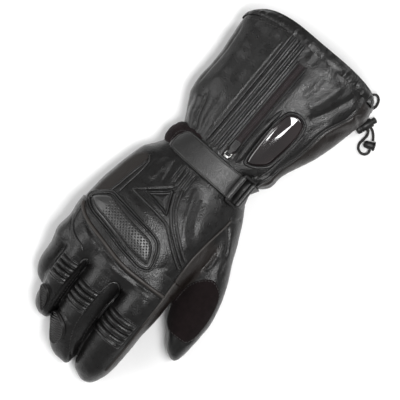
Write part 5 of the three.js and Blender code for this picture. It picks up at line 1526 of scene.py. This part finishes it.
# Outer side of the wrist under the pile, at places along it
PILE_BASE = smooth_table([-16, -10, -7, -3, 2, 8, 12, 16, 20], [38, 41, 44.6, 47, 48.4, 48.6, 47.6, 45, 41])
PILE_ROOM = 3.4
pile_y = np.linspace(STRAP_BACK - 5.2, STRAP_FRONT - 3.4, 70)
yy, tt = np.meshgrid(pile_y, np.linspace(0, 1, 120))
left, top = wrist_section(yy)[::2]
right = PILE_BASE(yy) - PILE_ROOM
angle = PILE_START + (PILE_END - PILE_START) * tt
edge = np.minimum(yy - pile_y[0], pile_y[-1] - yy)
fat = (0.7 + 2.6 * ease((radians(40) - angle) / radians(25))) * ease((edge + 0.3) / 1.6) ** 0.5
flat_z = np.zeros_like(yy)
shag = 0.45 * lumps(yy, angle * 40, flat_z, 2.0, 71) + 0.2 * lumps(yy, angle * 40, flat_z, 5.5, 73)
fat = fat + shag * ease((radians(50) - angle) / radians(20)) * ease(edge / 0.8)
pile_faces = []
for grow in (0.3 + fat, -0.4):
    x, z = rounded(left, right, 0, top, angle, grow)
    pile_faces.append(np.stack([x, yy, z], axis=-1))
make("wrist_pile", *closed_sheet(*pile_faces), pile_look, "pile", ["strap_base"])

# Cuff trim

# x at the wrist and at the hem
CUFF_RIDGES = [(3.6, 3.4), (8.1, 8.2), (13.2, 13.4), (17.2, 17.6)]
for number, (x_top, x_end) in enumerate(CUFF_RIDGES, 1):
    run = smooth_line([(x_top, -7.6), (x_top, -40), (x_end, -84), (x_end + 0.6, -127.4)], 200)
    band(f"cuff_ridge_{number}", run, RIDGE_PROFILE, leather_look, "leather", [f"cuff_ridge_{number}"],
         taper=4)
    for side in (-SEAM_OFFSET, SEAM_OFFSET):
        stitches(run + np.array([side, 0]), "cuff", radius=0.2)

ZIP_START, ZIP_END, TAPE_HALF = -7, -111, 3.9
zip_y = np.linspace(ZIP_END, ZIP_START, 300)
zip_x = np.linspace(-TAPE_HALF, TAPE_HALF, 24)
grid = np.stack(np.meshgrid(zip_x, zip_y, indexing="ij"), axis=-1)
plan = grid + np.array([ZIP_X, 0])
side = np.abs(grid[..., 0])
tape_lift = 0.55 + 0.35 * ease((side - 3.4) / 0.5) + 0.12 * np.sin(grid[..., 1] * 2 * pi / 1.1)
slab("zip_tape", plan, tape_lift, tape_look, "zip", ["zip_tape"], sink=-0.5)

COIL_PITCH, COIL_RADIUS, COIL_SIDES, COIL_POINTS = 1.25, 0.46, 8, 7
coil_rise = 1.15 + 0.45 * np.sin(np.linspace(0.1, pi, COIL_POINTS))
coil_parts = []
for row_side in (-1, 1):
    across = np.linspace(-0.1, 1.75, COIL_POINTS) * row_side
    for y in np.arange(ZIP_END + 1.5, ZIP_START - 7.5, COIL_PITCH):
        spot = y + (0.5 * COIL_PITCH if row_side > 0 else 0)
        centre_line = np.stack([across + ZIP_X, np.full(COIL_POINTS, spot)], axis=-1)
        coil_parts.append(swept(on_skin(centre_line, coil_rise)[0], COIL_RADIUS, COIL_SIDES))
make("zip_coil", *merged(coil_parts), coil_look, "zip", ["zip_chain"])

ZIP_SEAMS = [[(x, -15), (x, -60), (x, -112)] for x in (-9.9, -1.1)]
rolls("zip_welts", [(line, 120, 2.4, 1.6, 2) for line in ZIP_SEAMS])
for line, side in zip(ZIP_SEAMS, (-1.7, 1.7)):
    stitches(smooth_line(line, 120) + np.array([side, 0]), "cuff", radius=0.2)

# The upper leather's edge where the matt palm-side panel starts
make("panel_welt", *band_shape(PANEL_SEAM + np.array([0.9, 0]), round_profile(2.4, 1.2), taper=3),
     leather_look, "leather")

# Window: a glossy domed pane in a rolled leather frame
WINDOW = [(-25, -16), (-22, -17), (-20.6, -28), (-20.4, -50), (-23, -68), (-27, -73), (-33.8, -74.4),
          (-40, -71), (-42, -62), (-41.6, -48), (-40, -35), (-38, -26), (-31, -19)]
window_outline = smooth_line(WINDOW, 220, closed=True)
plan = outline_grid(window_outline, 130, 60, turn=90)
from_edge = edge_distance(plan, window_outline)
dome = 0.9 + 1.5 * ease(from_edge / 11) - 0.3 * bell(from_edge, 0.8)
skin_z = on_skin(plan, np.zeros(dome.shape))[0][..., 2]
smooth_z = even_height(plan, skin_z, 2, 2)
clear_of_skin = np.max(skin_z - smooth_z) + 0.1
level = smooth_z + clear_of_skin + dome - 0.9 * (1 - ease(from_edge / 2.5))
upper = np.concatenate([plan, level[..., None]], axis=-1)
lower = np.concatenate([plan, (skin_z - 0.4)[..., None]], axis=-1)
make("window", *closed_sheet(upper, lower), gloss_look, "gloss", ["window"])
frame_line = scaled(window_outline, np.array([1.14, 1.045]))
band("window_frame", frame_line, round_profile(2.9, 2.1, 11), leather_look, "leather", ["window_frame"],
     closed=True)
LEFT_ROLL = [(-38.6, -11), (-41.6, -20), (-43.8, -34), (-45.2, -50), (-46, -66)]
RIGHT_ROLL = [(-15.6, -9), (-15, -24), (-14.6, -40), (-15.8, -56), (-17.4, -70)]
make("window_rolls", *merged([
    band_shape(smooth_line(LEFT_ROLL, 100), round_profile(2.4, 1.3)),
    band_shape(smooth_line(RIGHT_ROLL, 100), round_profile(4.4, 1.9, 11), taper=6),
]), leather_look, "leather")
stitches(smooth_line(LEFT_ROLL, 100) + np.array([-1.8, 0]), "cuff")
stitches(smooth_line(LEFT_ROLL, 100) + np.array([1.8, 0]), "cuff")
stitches(PANEL_SEAM + np.array([1.9, 0]), "cuff")
HEM_THREAD = [(60, -112), (50, -117.6), (40, -120.6), (30, -123), (20, -126.6), (10, -129.4), (0, -130.6),
              (-10, -130.6), (-25, -129.4), (-40, -125.8), (-50, -122.8), (-60, -119.4), (-69, -116)]
stitches(smooth_line(HEM_THREAD, 160), "cuff")

# Zip slider: body with its wings and crown, and the pull that hangs on the pin
slider_low, slider_high = part_box("zip_slider")
pull_low = part_box("zip_pull")[0]
PIN_Y, PIN_Z, PIN_RADIUS = -10.5, 50.972, 0.5


def rounded_box(low, high, bevel):
    """Points and triangles of a box with round edges."""
    low, high = np.array(low, float), np.array(high, float)
    bm = bmesh.new()
    bmesh.ops.create_cube(bm, size=1)
    for vert in bm.verts:
        vert.co = Vector((low + high) / 2 + np.array(vert.co) * (high - low))
    bmesh.ops.bevel(bm, geom=list(bm.edges) + list(bm.verts), offset=bevel, segments=3, affect="EDGES",
                    profile=0.5)
    bmesh.ops.triangulate(bm, faces=list(bm.faces))
    points = np.array([vert.co for vert in bm.verts])
    faces = np.array([[v.index for v in face.verts] for face in bm.faces])
    bm.free()
    return points, faces


base = slider_low[2]
pin_line = [(x, PIN_Y, PIN_Z) for x in np.linspace(ZIP_X - 2.9, ZIP_X + 2.9, 9)]
pin_points, pin_quads = swept(np.array(pin_line), PIN_RADIUS, 12)
make("zip_slider", *merged([
    rounded_box((ZIP_X - 2.4, -13.9, base), (ZIP_X + 2.4, -7.1, base + 1.8), 0.6),
    rounded_box((ZIP_X - 3.2, -13.2, base), (ZIP_X + 3.2, -10.2, base + 1.5), 0.5),
    rounded_box((ZIP_X - 3.2, -11.8, base + 1.0), (ZIP_X - 2.3, -9.2, slider_high[2]), 0.35),
    rounded_box((ZIP_X + 2.3, -11.8, base + 1.0), (ZIP_X + 3.2, -9.2, slider_high[2]), 0.35),
    (pin_points, np.vstack([pin_quads[:, [0, 1, 2]], pin_quads[:, [0, 2, 3]]])),
]), metal_look, "metal", ["zip_slider"])

PULL_LENGTH, PULL_THICK, PULL_START, PULL_COLUMNS = 15, 1.3, 1.1, 30
EYE_HALF = 6.4 / 2 - 0.9 - GAP
EYE_SIDES = 28
tip_z = pull_low[2] + PULL_THICK / 2 + 0.05
tilt = np.arctan2(tip_z - PIN_Z, PULL_LENGTH)
u = np.linspace(PULL_START, PULL_LENGTH, 90)
half_width = smooth_table([0, 4.2, 6.2, 7, 13.4, 14.4, 15], [EYE_HALF, EYE_HALF, 3.2, 3.3, 3.3, 3.0, 1.7])(u)
across = half_width[:, None] * np.sin(np.linspace(-1, 1, PULL_COLUMNS)[None, :] * pi / 2)
edge = np.minimum(half_width[:, None] - np.abs(across), (PULL_LENGTH - u)[:, None])
edge = np.minimum(edge, (u - PULL_START)[:, None] + 0.3)
thick = PULL_THICK / 2 * np.sqrt(np.clip(1 - (1 - np.clip(edge / 0.6, 0, 1)) ** 2, 0.02, 1))
grip = 0.14 * (0.5 + 0.5 * np.cos(u * 2 * pi / 1.5))[:, None]
grip = grip * ease((edge - 0.9) / 0.4) * ease((u[:, None] - 6.8) / 0.5)


def on_pull(level):
    """The pull's points at heights over its own middle plane, turned to lie as the part's does."""
    y, c, s = -u[:, None], cos(-tilt), sin(-tilt)
    return np.stack([across, y * c - level * s, y * s + level * c], axis=-1) + np.array([ZIP_X, PIN_Y, PIN_Z])


angle = np.linspace(0, 2 * pi, EYE_SIDES, endpoint=False)
eye = np.array([
    np.stack([np.full(EYE_SIDES, ZIP_X + x), PIN_Y + r * np.cos(angle), PIN_Z + r * np.sin(angle)], axis=-1)
    for x, r in ((-EYE_HALF, 0.8), (-EYE_HALF, 1.2), (-EYE_HALF + 0.2, 1.35), (EYE_HALF - 0.2, 1.35),
                 (EYE_HALF, 1.2), (EYE_HALF, 0.8))])
make("zip_pull", *merged([
    closed_sheet(on_pull(thick - grip), on_pull(-thick)),
    (eye.reshape(-1, 3), tube_faces(len(eye), EYE_SIDES, closed=True)),
]), plastic_look, "plastic", ["zip_pull"], body="zip_pull")

for group, rows in stitch_parts.items():
    make(f"stitches_{group}", *merged(rows), thread_look, "leather")
